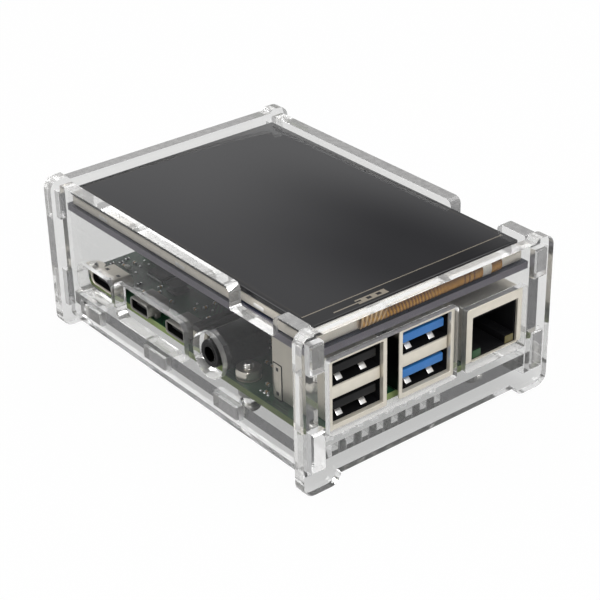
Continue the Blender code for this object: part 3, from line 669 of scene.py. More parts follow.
class ScreenLooks(bpy.types.PropertyGroup):
    off_colour: colour_property("Picture area", "Colour of the picture area when it is off",
                                (0.006, 0.006, 0.0075))
    bezel_colour: colour_property("Border", "Printed border round the picture area", (0.003, 0.003, 0.004))
    film_colour: colour_property("Ribbon film", "Amber film of the ribbon", (0.078, 0.025, 0.003))


class StageLooks(bpy.types.PropertyGroup):
    lens: bpy.props.FloatProperty(
        name="Lens", description="Focal length of the camera in millimetres",
        default=99.80, min=10.0, max=300.0)
    azimuth: angle_property("Camera azimuth", "Turn of the camera about the vertical", 51.881)
    elevation: angle_property("Camera elevation", "Height of the camera's view", 29.048)
    roll: angle_property("Camera roll", "Turn of the camera about its own view", -1.279)
    brightness: bpy.props.FloatProperty(
        name="Studio brightness", description="Strength of the surrounding light",
        default=1.0, min=0.0, max=5.0)


# ---------------------------------------------------------------- case
THREAD_PITCH = 0.45
SHANK = 1.08
NUT_HALF = 2.5           # half across the flats
NUT_TURN = radians(12)


class CASE_OT_sheets(bpy.types.Operator):
    """Clear sheets of the case"""
    bl_idname = "computer.case_sheets"
    bl_label = "Case sheets"

    def execute(self, context):
        looks = context.scene.case_looks
        for node, axis in CASE_SHEETS.items():
            clear = finish(f"clear sheet {'xyz'[axis]}", clear_sheet, axis, tuple(looks.tint), looks.frost)
            bevelled_copy(f"{node}_sheet", node, clear)
        return {"FINISHED"}


def threaded_screw(node):
    """Pan head screw: rounded head, shank, and thread ridges whose radius follows a sine along the end."""
    size, foot = seat(node)
    head, tall = size[0] / 2, size[2]
    turn = np.linspace(0, pi / 2, 6)
    dome = np.stack([head - 0.7 + 0.7 * np.sin(turn), 0.7 - 0.7 * np.cos(turn)], -1)
    thread = np.linspace(tall - 7.2, tall - 0.25, 90)
    wave = np.cos(2 * pi * (thread - thread[0]) / THREAD_PITCH)
    ridges = np.stack([SHANK - 0.11 + 0.11 * wave, thread], -1)
    rows = np.concatenate([[(0.02, 0.0)], dome, [(head, 1.35), (head - 0.15, 1.5), (SHANK, 1.5)], ridges,
                           [(SHANK - 0.35, tall), (0.02, tall)]])
    return turned(rows, foot, sides=32)


def hex_nut(node):
    """Nut: a hexagon's radius, the smaller of its flat sides and a chamfer cone, round a ridged bore."""
    size, foot = seat(node)
    tall, sides = size[2], 72
    turn = np.linspace(0, 2 * pi, sides, endpoint=False)
    hexagon = NUT_HALF / np.cos((turn - NUT_TURN + pi / 3) % (pi / 3) - pi / 6)
    levels = np.array((0.0, 0.2, 0.45, tall - 0.45, tall - 0.2, tall))
    cone = NUT_HALF + np.array((0.05, 0.28, 0.5, 0.5, 0.28, 0.05))
    outer = np.minimum(hexagon[None], cone[:, None])
    bore = np.linspace(tall, 0.0, 18)
    inner = np.repeat(1.2 + 0.08 * np.cos(2 * pi * bore[:, None] / THREAD_PITCH), sides, axis=1)
    rim = np.full((1, sides), 1.75)
    radius = np.concatenate([outer, rim, inner, rim])
    level = np.concatenate([levels, [tall], bore, [0.0]])[:, None]
    rings = np.stack([radius * np.cos(turn), radius * np.sin(turn), np.broadcast_to(level, radius.shape)], -1)
    return stand(skin(rings, closed=True), foot)


def spacer(node):
    """Tube with eased ends."""
    size, foot = seat(node)
    radius, tall, bore = size[0] / 2, size[2], 1.45
    rows = [(radius - 0.2, 0), (radius, 0.2), (radius, tall - 0.2), (radius - 0.2, tall),
            (bore, tall), (bore, 0)]
    return turned(rows, foot, closed=True)


class CASE_OT_fasteners(bpy.types.Operator):
    """Screws, nuts and spacers that hold the board to the base plate"""
    bl_idname = "computer.fasteners"
    bl_label = "Fasteners"

    def execute(self, context):
        steel = finish("bright screw", turned_steel, (0.72, 0.71, 0.68))
        plated = finish("plated nut", turned_steel, (0.76, 0.72, 0.64))
        nylon = finish("white spacer", moulding, (0.80, 0.79, 0.75), 0.4, 0.2)
        kinds = (("screw", threaded_screw, steel, "screw_steel"), ("nut", hex_nut, plated, "nut_steel"),
                 ("spacer", spacer, nylon, "spacer_plastic"))
        for number in FASTENERS:
            for kind, build, look, slot in kinds:
                node = f"board_{kind}_{number}"
                make_piece(f"{kind}_{number}", build(node), look, stands_for=[node])
        return {"FINISHED"}


# ---------------------------------------------------------------- main board
PART_SEED = 7
PART_SHARE = 0.55        # share of the free places that a small part takes
PART_LONG = 0.55         # half sizes of a small part
PART_SHORT = 0.28
CAPACITORS = 0.45        # of the small parts, then resistors up to the next share, then bare pads
RESISTORS = 0.85
PIN_PITCH = 2.54
PIN_SIDE = 0.64
PIN_TAIL = -2.9


def footprints():
    """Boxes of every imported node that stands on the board's top face."""
    found = []
    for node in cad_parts:
        low, high = corners(node)
        stands = low[2] < BOARD_HIGH[2] + 1.2 and high[2] > BOARD_HIGH[2] + 0.2
        if stands and node != "main_board" and node not in CASE_SHEETS:
            found.append((low[:2], high[:2]))
    return found


def free_spots(pitch, clear=1.0):
    """Jittered grid of places on the board that no node stands on, which way each lies, and its kind."""
    rng = np.random.default_rng(PART_SEED)
    x, y = np.meshgrid(np.arange(2.5, 83.0, pitch), np.arange(2.0, 54.0, pitch), indexing="ij")
    spots = np.stack([x.ravel(), y.ravel()], -1) + BOARD_LOW[:2]
    spots = spots + rng.uniform(-0.25, 0.25, spots.shape) * pitch
    free = np.ones(len(spots), bool)
    for low, high in footprints():
        free &= ~np.all((spots > low - clear) & (spots < high + clear), axis=1)
    chosen = spots[free & (rng.random(len(spots)) < PART_SHARE)]
    return chosen, rng.random(len(chosen)) < 0.5, rng.random(len(chosen))


def on_board(spots):
    """Places on the board's top face."""
    return np.column_stack([spots, np.full(len(spots), BOARD_HIGH[2])])


def small_parts(spots, lies_along, tall):
    """Bodies and tinned ends of small parts, each lying along the board or across it."""
    bodies, ends = [], []
    for way, lie in ((np.array((1, 0, 0)), True), (np.array((0, 1, 0)), False)):
        places = on_board(spots[lies_along == lie])
        half = np.array((PART_LONG, PART_SHORT, 0) if lie else (PART_SHORT, PART_LONG, 0))
        core, cap = half * (1 - way * 0.36), half * (1 - way) + way * 0.13
        bodies.append(copies(small_block(-core + (0, 0, 0.03), core + (0, 0, tall)), places))
        for side in (-1, 1):
            middle = way * side * (PART_LONG - 0.12)
            end = small_block(middle - cap + (0, 0, 0.01), middle + cap + (0, 0, tall + 0.03))
            ends.append(copies(end, places))
    return joined(*bodies), joined(*ends)


class BOARD_OT_board(bpy.types.Operator):
    """Main board, its pads and small parts"""
    bl_idname = "computer.board"
    bl_label = "Main board"

    def execute(self, context):
        looks = context.scene.board_looks
        green = finish("green board", board_finish, tuple(looks.mask), tuple(looks.copper), tuple(looks.core))
        finish_node("main_board", green)
        spots, lies_along, kind = free_spots(looks.part_pitch)
        kinds = (("ceramic_capacitors", kind < CAPACITORS, (0.40, 0.27, 0.14), 0.5),
                 ("resistors", (kind >= CAPACITORS) & (kind < RESISTORS), (0.02, 0.02, 0.022), 0.35))
        for name, chosen, colour, tall in kinds:
            bodies, ends = small_parts(spots[chosen], lies_along[chosen], tall)
            make_piece(f"{name}_bodies", bodies, finish(name, moulding, colour, 0.45))
            make_piece(f"{name}_ends", ends, bright())
        dome = turned([(0.3, 0.0), (0.27, 0.1), (0.15, 0.2), (0.02, 0.24)], (0, 0, 0), sides=10)
        make_piece("test_pads", copies(dome, on_board(spots[kind >= RESISTORS])), bright())
        row = [at(67.6 + 1.2 * k, 1.9) for k in range(3)] + [at(18.5 + 1.1 * k, 4.6) for k in range(4)]
        make_piece("edge_pads", copies(dome, row), bright())
        collar = turned([(2.7, 0.0), (2.7, 0.03), (1.6, 0.03), (1.6, 0.0)], (0, 0, 0), sides=40, closed=True)
        holes = np.array([seat(f"board_nut_{number}")[1][:2] for number in FASTENERS])
        make_piece("hole_rings", copies(collar, on_board(holes)), tin())
        return {"FINISHED"}


def moulded_chip(node, draft=0.12):
    """Chip body, widest at mid height, with drafted sides."""
    (wide, deep, tall), foot = seat(node)
    rows = inset_rows(wide, deep, (draft, 0.1, 0), (0, 0.15, tall * 0.45), (0, 0.15, tall * 0.55),
                      (draft, 0.12, tall - 0.05), (draft + 0.1, 0.1, tall))
    return loft(rows, foot, steps=3)


def lead_rows(node, per_side, length=0.45, width=0.22):
    """Tinned lead ends along the four sides of a chip."""
    low, high = corners(node)
    middle = (low + high) / 2
    foot, top = BOARD_HIGH[2] + 0.01, low[2] + 0.22
    shapes = []
    for axis in (0, 1):
        spread = np.linspace(-0.5, 0.5, per_side) * (high - low)[axis] * 0.86
        for edge in (low, high):
            half = np.zeros(3)
            half[axis], half[1 - axis] = width / 2, length / 2
            spots = np.zeros((per_side, 3))
            spots[:, axis] = middle[axis] + spread
            spots[:, 1 - axis] = edge[1 - axis]
            spots[:, 2] = foot
            shapes.append(copies(small_block(-half, half + (0, 0, top - foot), 0.03), spots))
    return joined(*shapes)


def processor_lid(node):
    """Pressed lid: a flange that reaches over the base, and a raised middle."""
    (wide, deep, tall), foot = seat(node)
    rows = inset_rows(wide, deep, (0.2, 0.4, -0.28), (0, 0.5, -0.2), (0, 0.5, 0.35), (0.25, 0.45, 0.5),
                      (1.5, 0.8, 0.5), (1.8, 0.8, tall - 0.1), (2.1, 0.8, tall))
    return loft(rows, foot)


def radio_can(node):
    """Folded can with a rounded rim and a shallow sunk top."""
    (wide, deep, tall), foot = seat(node)
    rows = inset_rows(wide, deep, (0, 0.5, 0), (0, 0.5, tall - 0.25), (0.15, 0.45, tall - 0.06),
                      (0.5, 0.4, tall), (2.2, 0.6, tall), (2.5, 0.6, tall - 0.12))
    return loft(rows, foot)


def crystal_can(node):
    """Flanged can of the timing crystal."""
    rows = inset_rows(3.4, 2.6, (0, 0.4, 0), (0, 0.4, 0.15), (0.4, 0.4, 0.25), (0.4, 0.4, 0.7),
                      (0.6, 0.35, 0.8))
    return loft(rows, seat(node)[1])


def inductor_body(node):
    """Ferrite drum with a waist between two square ends."""
    (wide, _, tall), foot = seat(node)
    rows = inset_rows(wide, wide, (0, 0.8, 0), (0, 0.8, 0.3), (0.7, 1.4, 0.5), (0.7, 1.4, tall - 0.5),
                      (0, 0.9, tall - 0.3), (0.1, 0.8, tall))
    return loft(rows, foot)


class BOARD_OT_chips(bpy.types.Operator):
    """Processor, memory and the other chips and parts of the main board"""
    bl_idname = "computer.chips"
    bl_label = "Chips"

    def execute(self, context):
        for node in ("memory_chip", "port_controller_chip", "network_chip", "power_chip"):
            make_piece(f"{node}_body", moulded_chip(node), epoxy(), stands_for=[node])
            if node != "memory_chip":
                make_piece(f"{node}_leads", lead_rows(node, 12), bright())
        finish_node("processor_base", FINISHES["green board"])
        nickel = finish("lid nickel", sheet_metal, (0.66, 0.66, 0.65), 0.32, (1, 0.15, 1))
        ferrite = finish("ferrite", moulding, (0.05, 0.05, 0.052), 0.55, 0.5)
        lens = finish("clear lens", lit_lens, (0.75, 0.74, 0.68), 0.0)
        for node, build, look, slot, name in (
                ("processor_cap", processor_lid, nickel, "shell_steel", "processor_lid"),
                ("radio_shield", radio_can, tin(), "shell_steel", "radio_can"),
                ("timing_crystal", crystal_can, tin(), "shell_steel", "crystal_can"),
                ("power_inductor", inductor_body, ferrite, "moulding_black", "inductor_body")):
            make_piece(name, build(node), look, stands_for=[node])
        make_piece("status_lens", block(*corners("status_light"), 0.15, 0.12), lens,
                   stands_for=["status_light"])
        return {"FINISHED"}


def header_pieces(node):
    """Moulded strip in chamfered cells, square pins with pointed ends, and their solder under the board."""
    size, foot = seat(node)
    low = corners(node)[0]
    columns = int(round(size[0] / PIN_PITCH))
    across = low[0] + PIN_PITCH * (np.arange(columns) + 0.5)
    wide, deep = PIN_PITCH - 0.02, 2 * PIN_PITCH
    cell = loft([(wide, deep - 0.4, 0.45, 0), (wide, deep, 0.5, 0.25), (wide, deep, 0.5, 2.3),
                 (wide - 0.18, deep - 0.2, 0.45, 2.5)], (0, 0, 0), steps=1)
    cells = copies(cell, [(x, foot[1], foot[2]) for x in across])
    places = np.array([(x, foot[1] + row * PIN_PITCH / 2, foot[2]) for x in across for row in (-1, 1)])
    rows = [(0.3, 0.3, 0.05, PIN_TAIL), (PIN_SIDE, PIN_SIDE, 0.06, PIN_TAIL + 0.4),
            (PIN_SIDE, PIN_SIDE, 0.06, size[2] - 0.45), (0.26, 0.26, 0.05, size[2])]
    pins = copies(loft(rows, (0, 0, 0), steps=1), places)
    points, faces = turned([(0.85, 0.0), (0.75, -0.15), (0.45, -0.6), (0.34, -0.75)], (0, 0, 0), sides=12)
    places[:, 2] = BOARD_LOW[2]
    joints = copies((points, [face[::-1] for face in faces]), places)
    return cells, pins, joints


class BOARD_OT_headers(bpy.types.Operator):
    """Pin headers, flat cable connectors and their latches"""
    bl_idname = "computer.headers"
    bl_label = "Headers and connectors"

    def execute(self, context):
        for node in ("pin_header", "four_pin_header"):
            cells, pins, joints = header_pieces(node)
            make_piece(f"{node}_strip", cells, black(), stands_for=[node])
            make_piece(f"{node}_pins", pins, gold())
            make_piece(f"{node}_solder", joints, bright())
        ivory = finish("ivory moulding", moulding, (0.70, 0.66, 0.56), 0.45)
        dark = finish("latch moulding", moulding, (0.03, 0.028, 0.026), 0.4)
        for name in ("camera", "display"):
            finish_node(f"{name}_connector", ivory)
            low, high = corners(f"{name}_connector")
            tooth = small_block((-0.18, -0.15, 0), (0.18, 0.15, high[2] - low[2] - 0.4), 0.04)
            along = np.arange(low[1] + 2.2, high[1] - 2.2, 1.0)
            legs = [(x, y, low[2]) for x in (low[0], high[0]) for y in along]
            make_piece(f"{name}_contacts", copies(tooth, legs), bright())
            finish_node(f"{name}_latch", dark)
        return {"FINISHED"}


class BOARD_OT_card(bpy.types.Operator):
    """Memory card and its slot under the board"""
    bl_idname = "computer.memory_card"
    bl_label = "Memory card"

    def execute(self, context):
        finish_node("card_slot", tin())
        finish_node("memory_card", finish("card moulding", moulding, (0.02, 0.02, 0.024), 0.35))
        return {"FINISHED"}


# ---------------------------------------------------------------- ports on the port side
# lip corner radius, half width of the tongue and contacts of each port
SIDE_PORTS = {"power_port": (1.45, 3.3, 11), "video_port_1": (0.7, 2.3, 9), "video_port_2": (0.7, 2.3, 9)}
MOUTH_WALL = 0.35
MOUTH_DEPTH = 6.4
TONGUE_HALF = 0.35       # half the thickness of a tongue


def mouth_shell(node, corner):
    """Folded mouth facing the port side: out along the outside, round the lip and back down the inside."""
    low, high = corners(node)
    wide, length, tall = high - low
    inner, within = corner - MOUTH_WALL, 2 * MOUTH_WALL
    rows = inset_rows(wide, tall, (0, corner, 0), (0, corner, length - 0.12), (0.12, corner, length - 0.03),
                      (MOUTH_WALL, corner, length), (within - 0.1, inner, length - 0.05),
                      (within, inner, length - 0.2), (within, inner, length - MOUTH_DEPTH))
    return loft(rows, ((low[0] + high[0]) / 2, high[1], (low[2] + high[2]) / 2), "port side", steps=8)


def mouth_shade_sleeve(node, corner):
    """Near black sleeve inside a mouth: painted shade of its unlit inside."""
    low, high = corners(node)
    wide, _, tall = high - low - 2 * MOUTH_WALL
    rows = inset_rows(wide, tall, (0.01, corner - 0.35, -6.3), (0.01, corner - 0.35, -0.35),
                      (0.15, corner - 0.4, -0.4), (0.15, corner - 0.4, -6.2))
    return loft(rows, ((low[0] + high[0]) / 2, low[1], (low[2] + high[2]) / 2), "port side", closed=True)


def mouth_moulding(node, blade):
    """Tongue of a mouth and the block that it stands on."""
    low, high = corners(node)
    x, _, z = (low + high) / 2
    tongue = block((x - blade, low[1] + 1.0, z - TONGUE_HALF), (x + blade, high[1] - 1.2, z + TONGUE_HALF),
                   0.2, 0.15, "port side")
    back = block((low[0] + 0.5, high[1] - 2.6, low[2] + 0.5), (high[0] - 0.5, high[1] - 0.9, high[2] - 0.5),
                 0.3, 0.1, "port side")
    return joined(tongue, back)


def jack_shapes():
    """Audio jack's body with its barrel, and the dark ring in the barrel's mouth."""
    low, high = corners("audio_jack")
    mouth = ((low[0] + high[0]) / 2, BOARD_LOW[1], (low[2] + high[2]) / 2)
    body = block((low[0], BOARD_LOW[1], low[2]), high, 0.3, 0.2, "port side")
    barrel = turned([(3.1, 0.0), (3.1, 2.2), (2.85, 2.5), (2.1, 2.5), (1.8, 2.25), (1.8, -8.0), (1.78, -8.1)],
                    mouth, "port side", sides=56)
    collar = turned([(1.98, 2.42), (1.98, 2.56), (1.72, 2.5), (1.72, -1.0), (1.85, -1.0)],
                    mouth, "port side", sides=48, closed=True)
    return joined(body, barrel), collar


class PORTS_OT_side(bpy.types.Operator):
    """Power port, video ports and audio jack on the port side"""
    bl_idname = "computer.side_ports"
    bl_label = "Side ports"

    def execute(self, context):
        for name, (corner, blade, count) in SIDE_PORTS.items():
            node = f"{name}_shell"
            low, high = corners(node)
            x, y, z = (low + high) / 2
            # the video port shells get darker nickel than the power port's tin: painted shade, as they stand
            # in the case's dim inside
            metal = tin() if name == "power_port" else finish("dark nickel", sheet_metal, (0.30, 0.29, 0.27))
            make_piece(f"{name}_can", mouth_shell(node, corner), metal, stands_for=[node])
            # painted shade: the near black sleeve stands for the shadow inside the mouth
            make_piece(f"{name}_shadow_sleeve", mouth_shade_sleeve(node, corner), shade())
            make_piece(f"{name}_moulding", mouth_moulding(node, blade), black(),
                       stands_for=[f"{name}_tongue"])
            contact = small_block((-0.12, -2.0, 0), (0.12, 2.0, 0.06), 0.02)
            spots = [(x + k, low[1] + 3.4, z + TONGUE_HALF - 0.02)
                     for k in np.linspace(-blade + 0.5, blade - 0.5, count)]
            make_piece(f"{name}_contacts", copies(contact, spots), gold())
            tabs = [block((side - 0.5, end, BOARD_HIGH[2] - 0.02), (side + 0.5, end + 1.3, low[2] + 0.9),
                          0.1, 0.08)
                    for side in (low[0] + 0.15, high[0] - 0.15) for end in (low[1] + 1.9, low[1] + 5.2)]
            make_piece(f"{name}_tabs", joined(*tabs), metal)
            if name == "power_port":
                windows = [block((x + a - 0.55, y + b - 0.4, high[2] - 0.05),
                                 (x + a + 0.55, y + b + 0.4, high[2] + 0.02), 0.1, 0.03)
                           for a in (-2.2, 2.2) for b in (-1.0, 1.2)]
                make_piece("power_port_windows", joined(*windows), black())
        body, collar = jack_shapes()
        make_piece("audio_body", body, jet(), stands_for=["audio_jack"])
        make_piece("audio_ring", collar, finish("jack ring", turned_steel, (0.04, 0.04, 0.04), 0.2))
        return {"FINISHED"}


# ---------------------------------------------------------------- ports on the end
FLANGE = 0.85            # flange of a stack beyond its shell
SHELL_WALL = 0.1
SHELL_DEPTH = 12.0
MOUTH_FOOT = 1.2         # lower mouth above the shell's lowest edge
MOUTH_TALL = 5.3
BAR_TALL = 2.8           # bar between the two mouths
CONTACT_PLACES = np.linspace(-3.6, 3.6, 4)
SPRING_PLACES = (-3.05, 3.05)
JACK_MOUTH = (12.9, 10.3)
JACK_WIRES = 8
JACK_WIRE_PITCH = 1.02


def data_shell(node):
    """Shell of a stack: plain box, a tight bend out to the flange, over its rim and down inside."""
    low, high = corners(node)
    rim = (high + low) / 2
    length, full_wide, full_tall = high - low
    wide, tall = full_wide - 2 * FLANGE, full_tall - 1.1
    shift = (0.0, (low[2] + 0.9 + high[2] - 0.2) / 2 - rim[2])
    mouth_wide, mouth_tall = wide - 2 * SHELL_WALL, tall - 0.8
    mouth_shift = (0.0, shift[1] - 0.1)
    rows = [(wide, tall, 0.4, 0, shift), (wide, tall, 0.4, length - 0.75, shift)]
    for turn in np.linspace(0, pi / 2, 5)[1:]:
        share = (1 - np.cos(turn)) * 0.3
        rows.append((wide + (full_wide - wide) * share, tall + (full_tall - tall) * share, 0.4,
                     length - 0.75 + 0.3 * np.sin(turn), (0.0, shift[1] * (1 - share))))
    rows += inset_rows(full_wide, full_tall, (0.06, 0.4, length - 0.42), (0, 0.45, length - 0.36),
                       (0, 0.45, length - 0.08), (0.12, 0.4, length))
    rows += [(*row, mouth_shift) for row in inset_rows(
        mouth_wide, mouth_tall, (-0.25, 0.3, length), (-0.06, 0.2, length - 0.08), (0, 0.15, length - 0.3),
        (0, 0.15, length - SHELL_DEPTH))]
    return loft(rows, (low[0], rim[1], rim[2]), "port end", steps=4)


def mouth_parts(front, y, half, low_z, high_z):
    """Painted shade of one mouth's unlit inside as a near black sleeve, and its tongue, contacts and two
    springs. A spring rises steeply and falls slowly.
    """
    rows = inset_rows(2 * half, high_z - low_z, (0.02, 0.1, -11.5), (0.02, 0.1, -0.75), (0.3, 0.1, -0.7),
                      (0.35, 0.1, -0.9), (0.35, 0.1, -10.5))
    mouth_shadow_fill = loft(rows, (front, y, (low_z + high_z) / 2), "port end", steps=2)
    tongue = block((front - 10.6, y - 5.5, high_z - 2.9), (front - 0.9, y + 5.5, high_z - 1.0),
                   0.2, 0.15, "port end")
    contacts = [small_block((front - 8.0, y + k - 0.5, high_z - 2.97),
                            (front - 2.2, y + k + 0.5, high_z - 2.87), 0.03) for k in CONTACT_PLACES]
    run = np.linspace(0, 1, 14)
    rise = np.interp(run, (0, 0.26, 0.4, 1), (0.12, 1.02, 1.1, 0.3))
    path = np.stack([front - 1.7 - 3.4 * run, np.full(14, y), low_z + rise], -1)
    springs = [carried(strip(1.5, 0.16), path + (0, side, 0), (0, -1, 0)) for side in SPRING_PLACES]
    return mouth_shadow_fill, tongue, joined(*springs), joined(*contacts)


class PORTS_OT_data(bpy.types.Operator):
    """Two stacks of data ports with their bars, springs and tongues"""
    bl_idname = "computer.data_ports"
    bl_label = "Data ports"

    def execute(self, context):
        looks = context.scene.port_looks
        blue = finish("blue moulding", moulding, tuple(looks.fast_port_colour), 0.36)
        near_high, far_low = corners("data_stack_near_shell")[1], corners("data_stack_far_shell")[0]
        # box of the slot between the two cans; the cans' finish paints shade on its walls
        shaded_slot_box = (near_high[0] - 0.5, near_high[1] - 0.9, far_low[1] + 0.9, near_high[2] - 1.6)
        can_tin_and_slot_shade = finish("data can tin", sheet_metal, tuple(looks.shell_colour), gap=shaded_slot_box)
        spring_steel = finish("spring steel", sheet_metal, (0.95, 0.94, 0.92), 0.16, stain=0.03)
        for name, tongue_look, tongue_slot in (("data_stack_near", jet(), "moulding_black"),
                                               ("data_stack_far", blue, "moulding_blue")):
            node = f"{name}_shell"
            low, high = corners(node)
            y, front = (low[1] + high[1]) / 2, high[0] - 0.3
            half = (high[1] - low[1]) / 2 - FLANGE - SHELL_WALL
            foot = low[2] + MOUTH_FOOT
            bar_foot = foot + MOUTH_TALL
            bar_top = bar_foot + BAR_TALL
            make_piece(f"{name}_can", data_shell(node), can_tin_and_slot_shade, stands_for=[node])
            rows = inset_rows(2 * half - 0.5, BAR_TALL, (0, 0.05, -9.0), (0, 0.05, -0.65))
            rows += [(2 * half - 0.6, BAR_TALL - 0.12, 0.1, -0.5),
                     (2 * half - 0.9, BAR_TALL - 0.45, 0.1, -0.42)]
            bar = loft(rows, (front, y, (bar_foot + bar_top) / 2), "port end", steps=2)
            make_piece(f"{name}_bar", bar, tin())
            mouths = zip(mouth_parts(front, y, half, foot, bar_foot),
                         mouth_parts(front, y, half, bar_top, bar_top + MOUTH_TALL))
            mouth_shadow_fills, tongues, springs, contacts = [joined(*pair) for pair in mouths]
            # painted shade: the near black sleeves stand for the shadow inside the mouths
            make_piece(f"{name}_liner", mouth_shadow_fills, shade())
            make_piece(f"{name}_tongues", tongues, tongue_look, stands_for=[f"{name}_insert"])
            make_piece(f"{name}_springs", springs, spring_steel)
            make_piece(f"{name}_contacts", contacts, gold())
        self.side_spring()
        return {"FINISHED"}

    def side_spring(self):
        """Spring on the near stack's side, in its window, with two holes; a near black block behind it is
        painted shade of the window.
        """
        low = corners("data_stack_near_shell")[0]
        side, foot = low[1] + FLANGE, BOARD_HIGH[2] + 0.3
        # painted shade: a near black block behind the spring that stands for the shadow in the shell's window
        gap = block((low[0] + 0.15, side - 0.07, foot - 0.2), (low[0] + 3.05, side + 0.1, foot + 8.1),
                    0.2, 0.06, "port side")
        spring = block((low[0] + 0.4, side - 0.14, foot), (low[0] + 2.8, side + 0.1, foot + 7.9),
                       0.2, 0.06, "port side")
        holes = [block((low[0] + 1.2, side - 0.17, z), (low[0] + 2.0, side, z + 0.8), 0.1, 0.03, "port side")
                 for z in (foot + 0.8, foot + 6.4)]
        make_piece("near_stack_side_painted_shade", gap, shade())
        make_piece("near_stack_side_spring", spring, tin())
        make_piece("near_stack_side_holes", joined(*holes), black())


class PORTS_OT_network(bpy.types.Operator):
    """Network jack, its lights and contacts"""
    bl_idname = "computer.network_jack"
    bl_label = "Network jack"

    def execute(self, context):
        low, high = corners("network_jack_shell")
        inner_high = corners("network_jack_insert")[1]
        middle, (length, wide, tall) = (low + high) / 2, high - low
        open_wide, open_tall = JACK_MOUTH
        mouth = np.array((inner_high[0], middle[1] + 0.3, low[2] + 0.05 + open_tall / 2))
        shift = (mouth[1] - middle[1], mouth[2] - middle[2])
        rows = inset_rows(wide, tall, (0, 0.5, 0), (0, 0.5, length - 0.3), (0.1, 0.5, length - 0.1),
                          (0.3, 0.4, length))
        rows += [(open_wide + 0.3, open_tall + 0.2, 0.25, length, shift),
                 (open_wide, open_tall, 0.15, length - 0.15, shift),
                 (open_wide, open_tall, 0.15, length - 15.0, shift)]
        make_piece("network_can", loft(rows, (low[0], middle[1], middle[2]), "port end"), tin(),
                   stands_for=["network_jack_shell"])
        back, lip = mouth[0] - 13.5, mouth[0] + 0.1
        size, rise = open_wide / 2 - 0.02, open_tall / 2 - 0.02
        foot, top = mouth[2] - rise, mouth[2] + rise
        plug, step = 5.9, 3.3
        walls = [(-size, -plug, foot, top), (plug, size, foot, top),
                 (-plug - 0.1, -step, foot, foot + 2.3), (step, plug + 0.1, foot, foot + 2.3),
                 (-step - 0.1, step + 0.1, foot, foot + 0.7), (-plug - 0.1, plug + 0.1, top - 0.8, top)]
        shapes = [block((back, mouth[1] + a, z0), (lip, mouth[1] + b, z1), 0.1, 0.1, "port end")
                  for a, b, z0, z1 in walls]
        shapes.append(block((back, mouth[1] - size, foot), (back + 0.6, mouth[1] + size, top),
                            0.1, 0.1, "port end"))
        # the insert's walls take the near black of an unlit port inside: partly the insert's own black
        # moulding, partly painted shade
        make_piece("network_insert_shaded", joined(*shapes), shade(),
                   stands_for=["network_jack_insert"])
        for name, side, colour in (("green", -1, (0.010, 0.06, 0.015)), ("yellow", 1, (0.12, 0.10, 0.03))):
            y = mouth[1] + side * (open_wide / 2 - 1.75)
            lens = block((lip - 1.0, y - 1.2, foot + 0.25), (lip + 0.12, y + 1.2, foot + 2.0),
                         0.2, 0.1, "port end")
            make_piece(f"{name}_network_light", lens, finish(f"{name} lens", lit_lens, colour, 0.03))
        run = np.linspace(0, 1, 12)
        fall = np.stack([inner_high[0] - 2.6 - 8.0 * run, np.zeros(12),
                         inner_high[2] - 0.9 - 2.6 * run ** 0.7], -1)
        wire = carried(strip(0.35, 0.22), fall, (0, -1, 0))
        places = [(0, mouth[1] + (k - (JACK_WIRES - 1) / 2) * JACK_WIRE_PITCH, 0) for k in range(JACK_WIRES)]
        make_piece("network_contacts", copies(wire, places), gold())
        return {"FINISHED"}


# ---------------------------------------------------------------- touch screen
PANEL_LATCHES = (13.9, 42.8, 67.1)     # along the board
LATCH_PROUD = 0.12


def metal_frame():
    """Pressed frame of the panel: upright sides, a rolled top edge and a low step inside."""
    (wide, deep, tall), foot = seat("screen_frame")
    rows = inset_rows(wide, deep, (0, 0.6, 0), (0, 0.6, tall - 0.35), (0.1, 0.6, tall - 0.1),
                      (0.35, 0.6, tall), (1.2, 0.5, tall), (1.3, 0.5, tall - 0.2))
    return loft(rows, foot, steps=4)


def panel_latches():
    """Small pressed catches along both long sides of the frame."""
    low, high = corners("screen_frame")
    shapes = []
    for along in PANEL_LATCHES:
        x = at(along, 0)[0]
        for y0, y1 in ((low[1] - LATCH_PROUD, low[1]), (high[1], high[1] + LATCH_PROUD)):
            shapes.append(block((x - 1.6, y0, low[2] + 0.35), (x + 1.6, y1, low[2] + 1.15),
                                0.2, 0.05, "port side"))
    return joined(*shapes)


def ribbon_shape():
    """Ribbon bent in a half ellipse from the glass down to the board."""
    low, high = corners("screen_ribbon")
    turn = np.linspace(-pi / 2, pi / 2, 25)
    rise, bulge = (high[2] - low[2]) / 2, high[0] - low[0]
    path = np.stack([low[0] + (bulge - 0.125) * np.cos(turn), np.full(25, (low[1] + high[1]) / 2),
                     (low[2] + high[2]) / 2 + (rise - 0.125) * np.sin(turn)], -1)
    return carried(strip(high[1] - low[1], 0.22), path, (0, 1, 0))


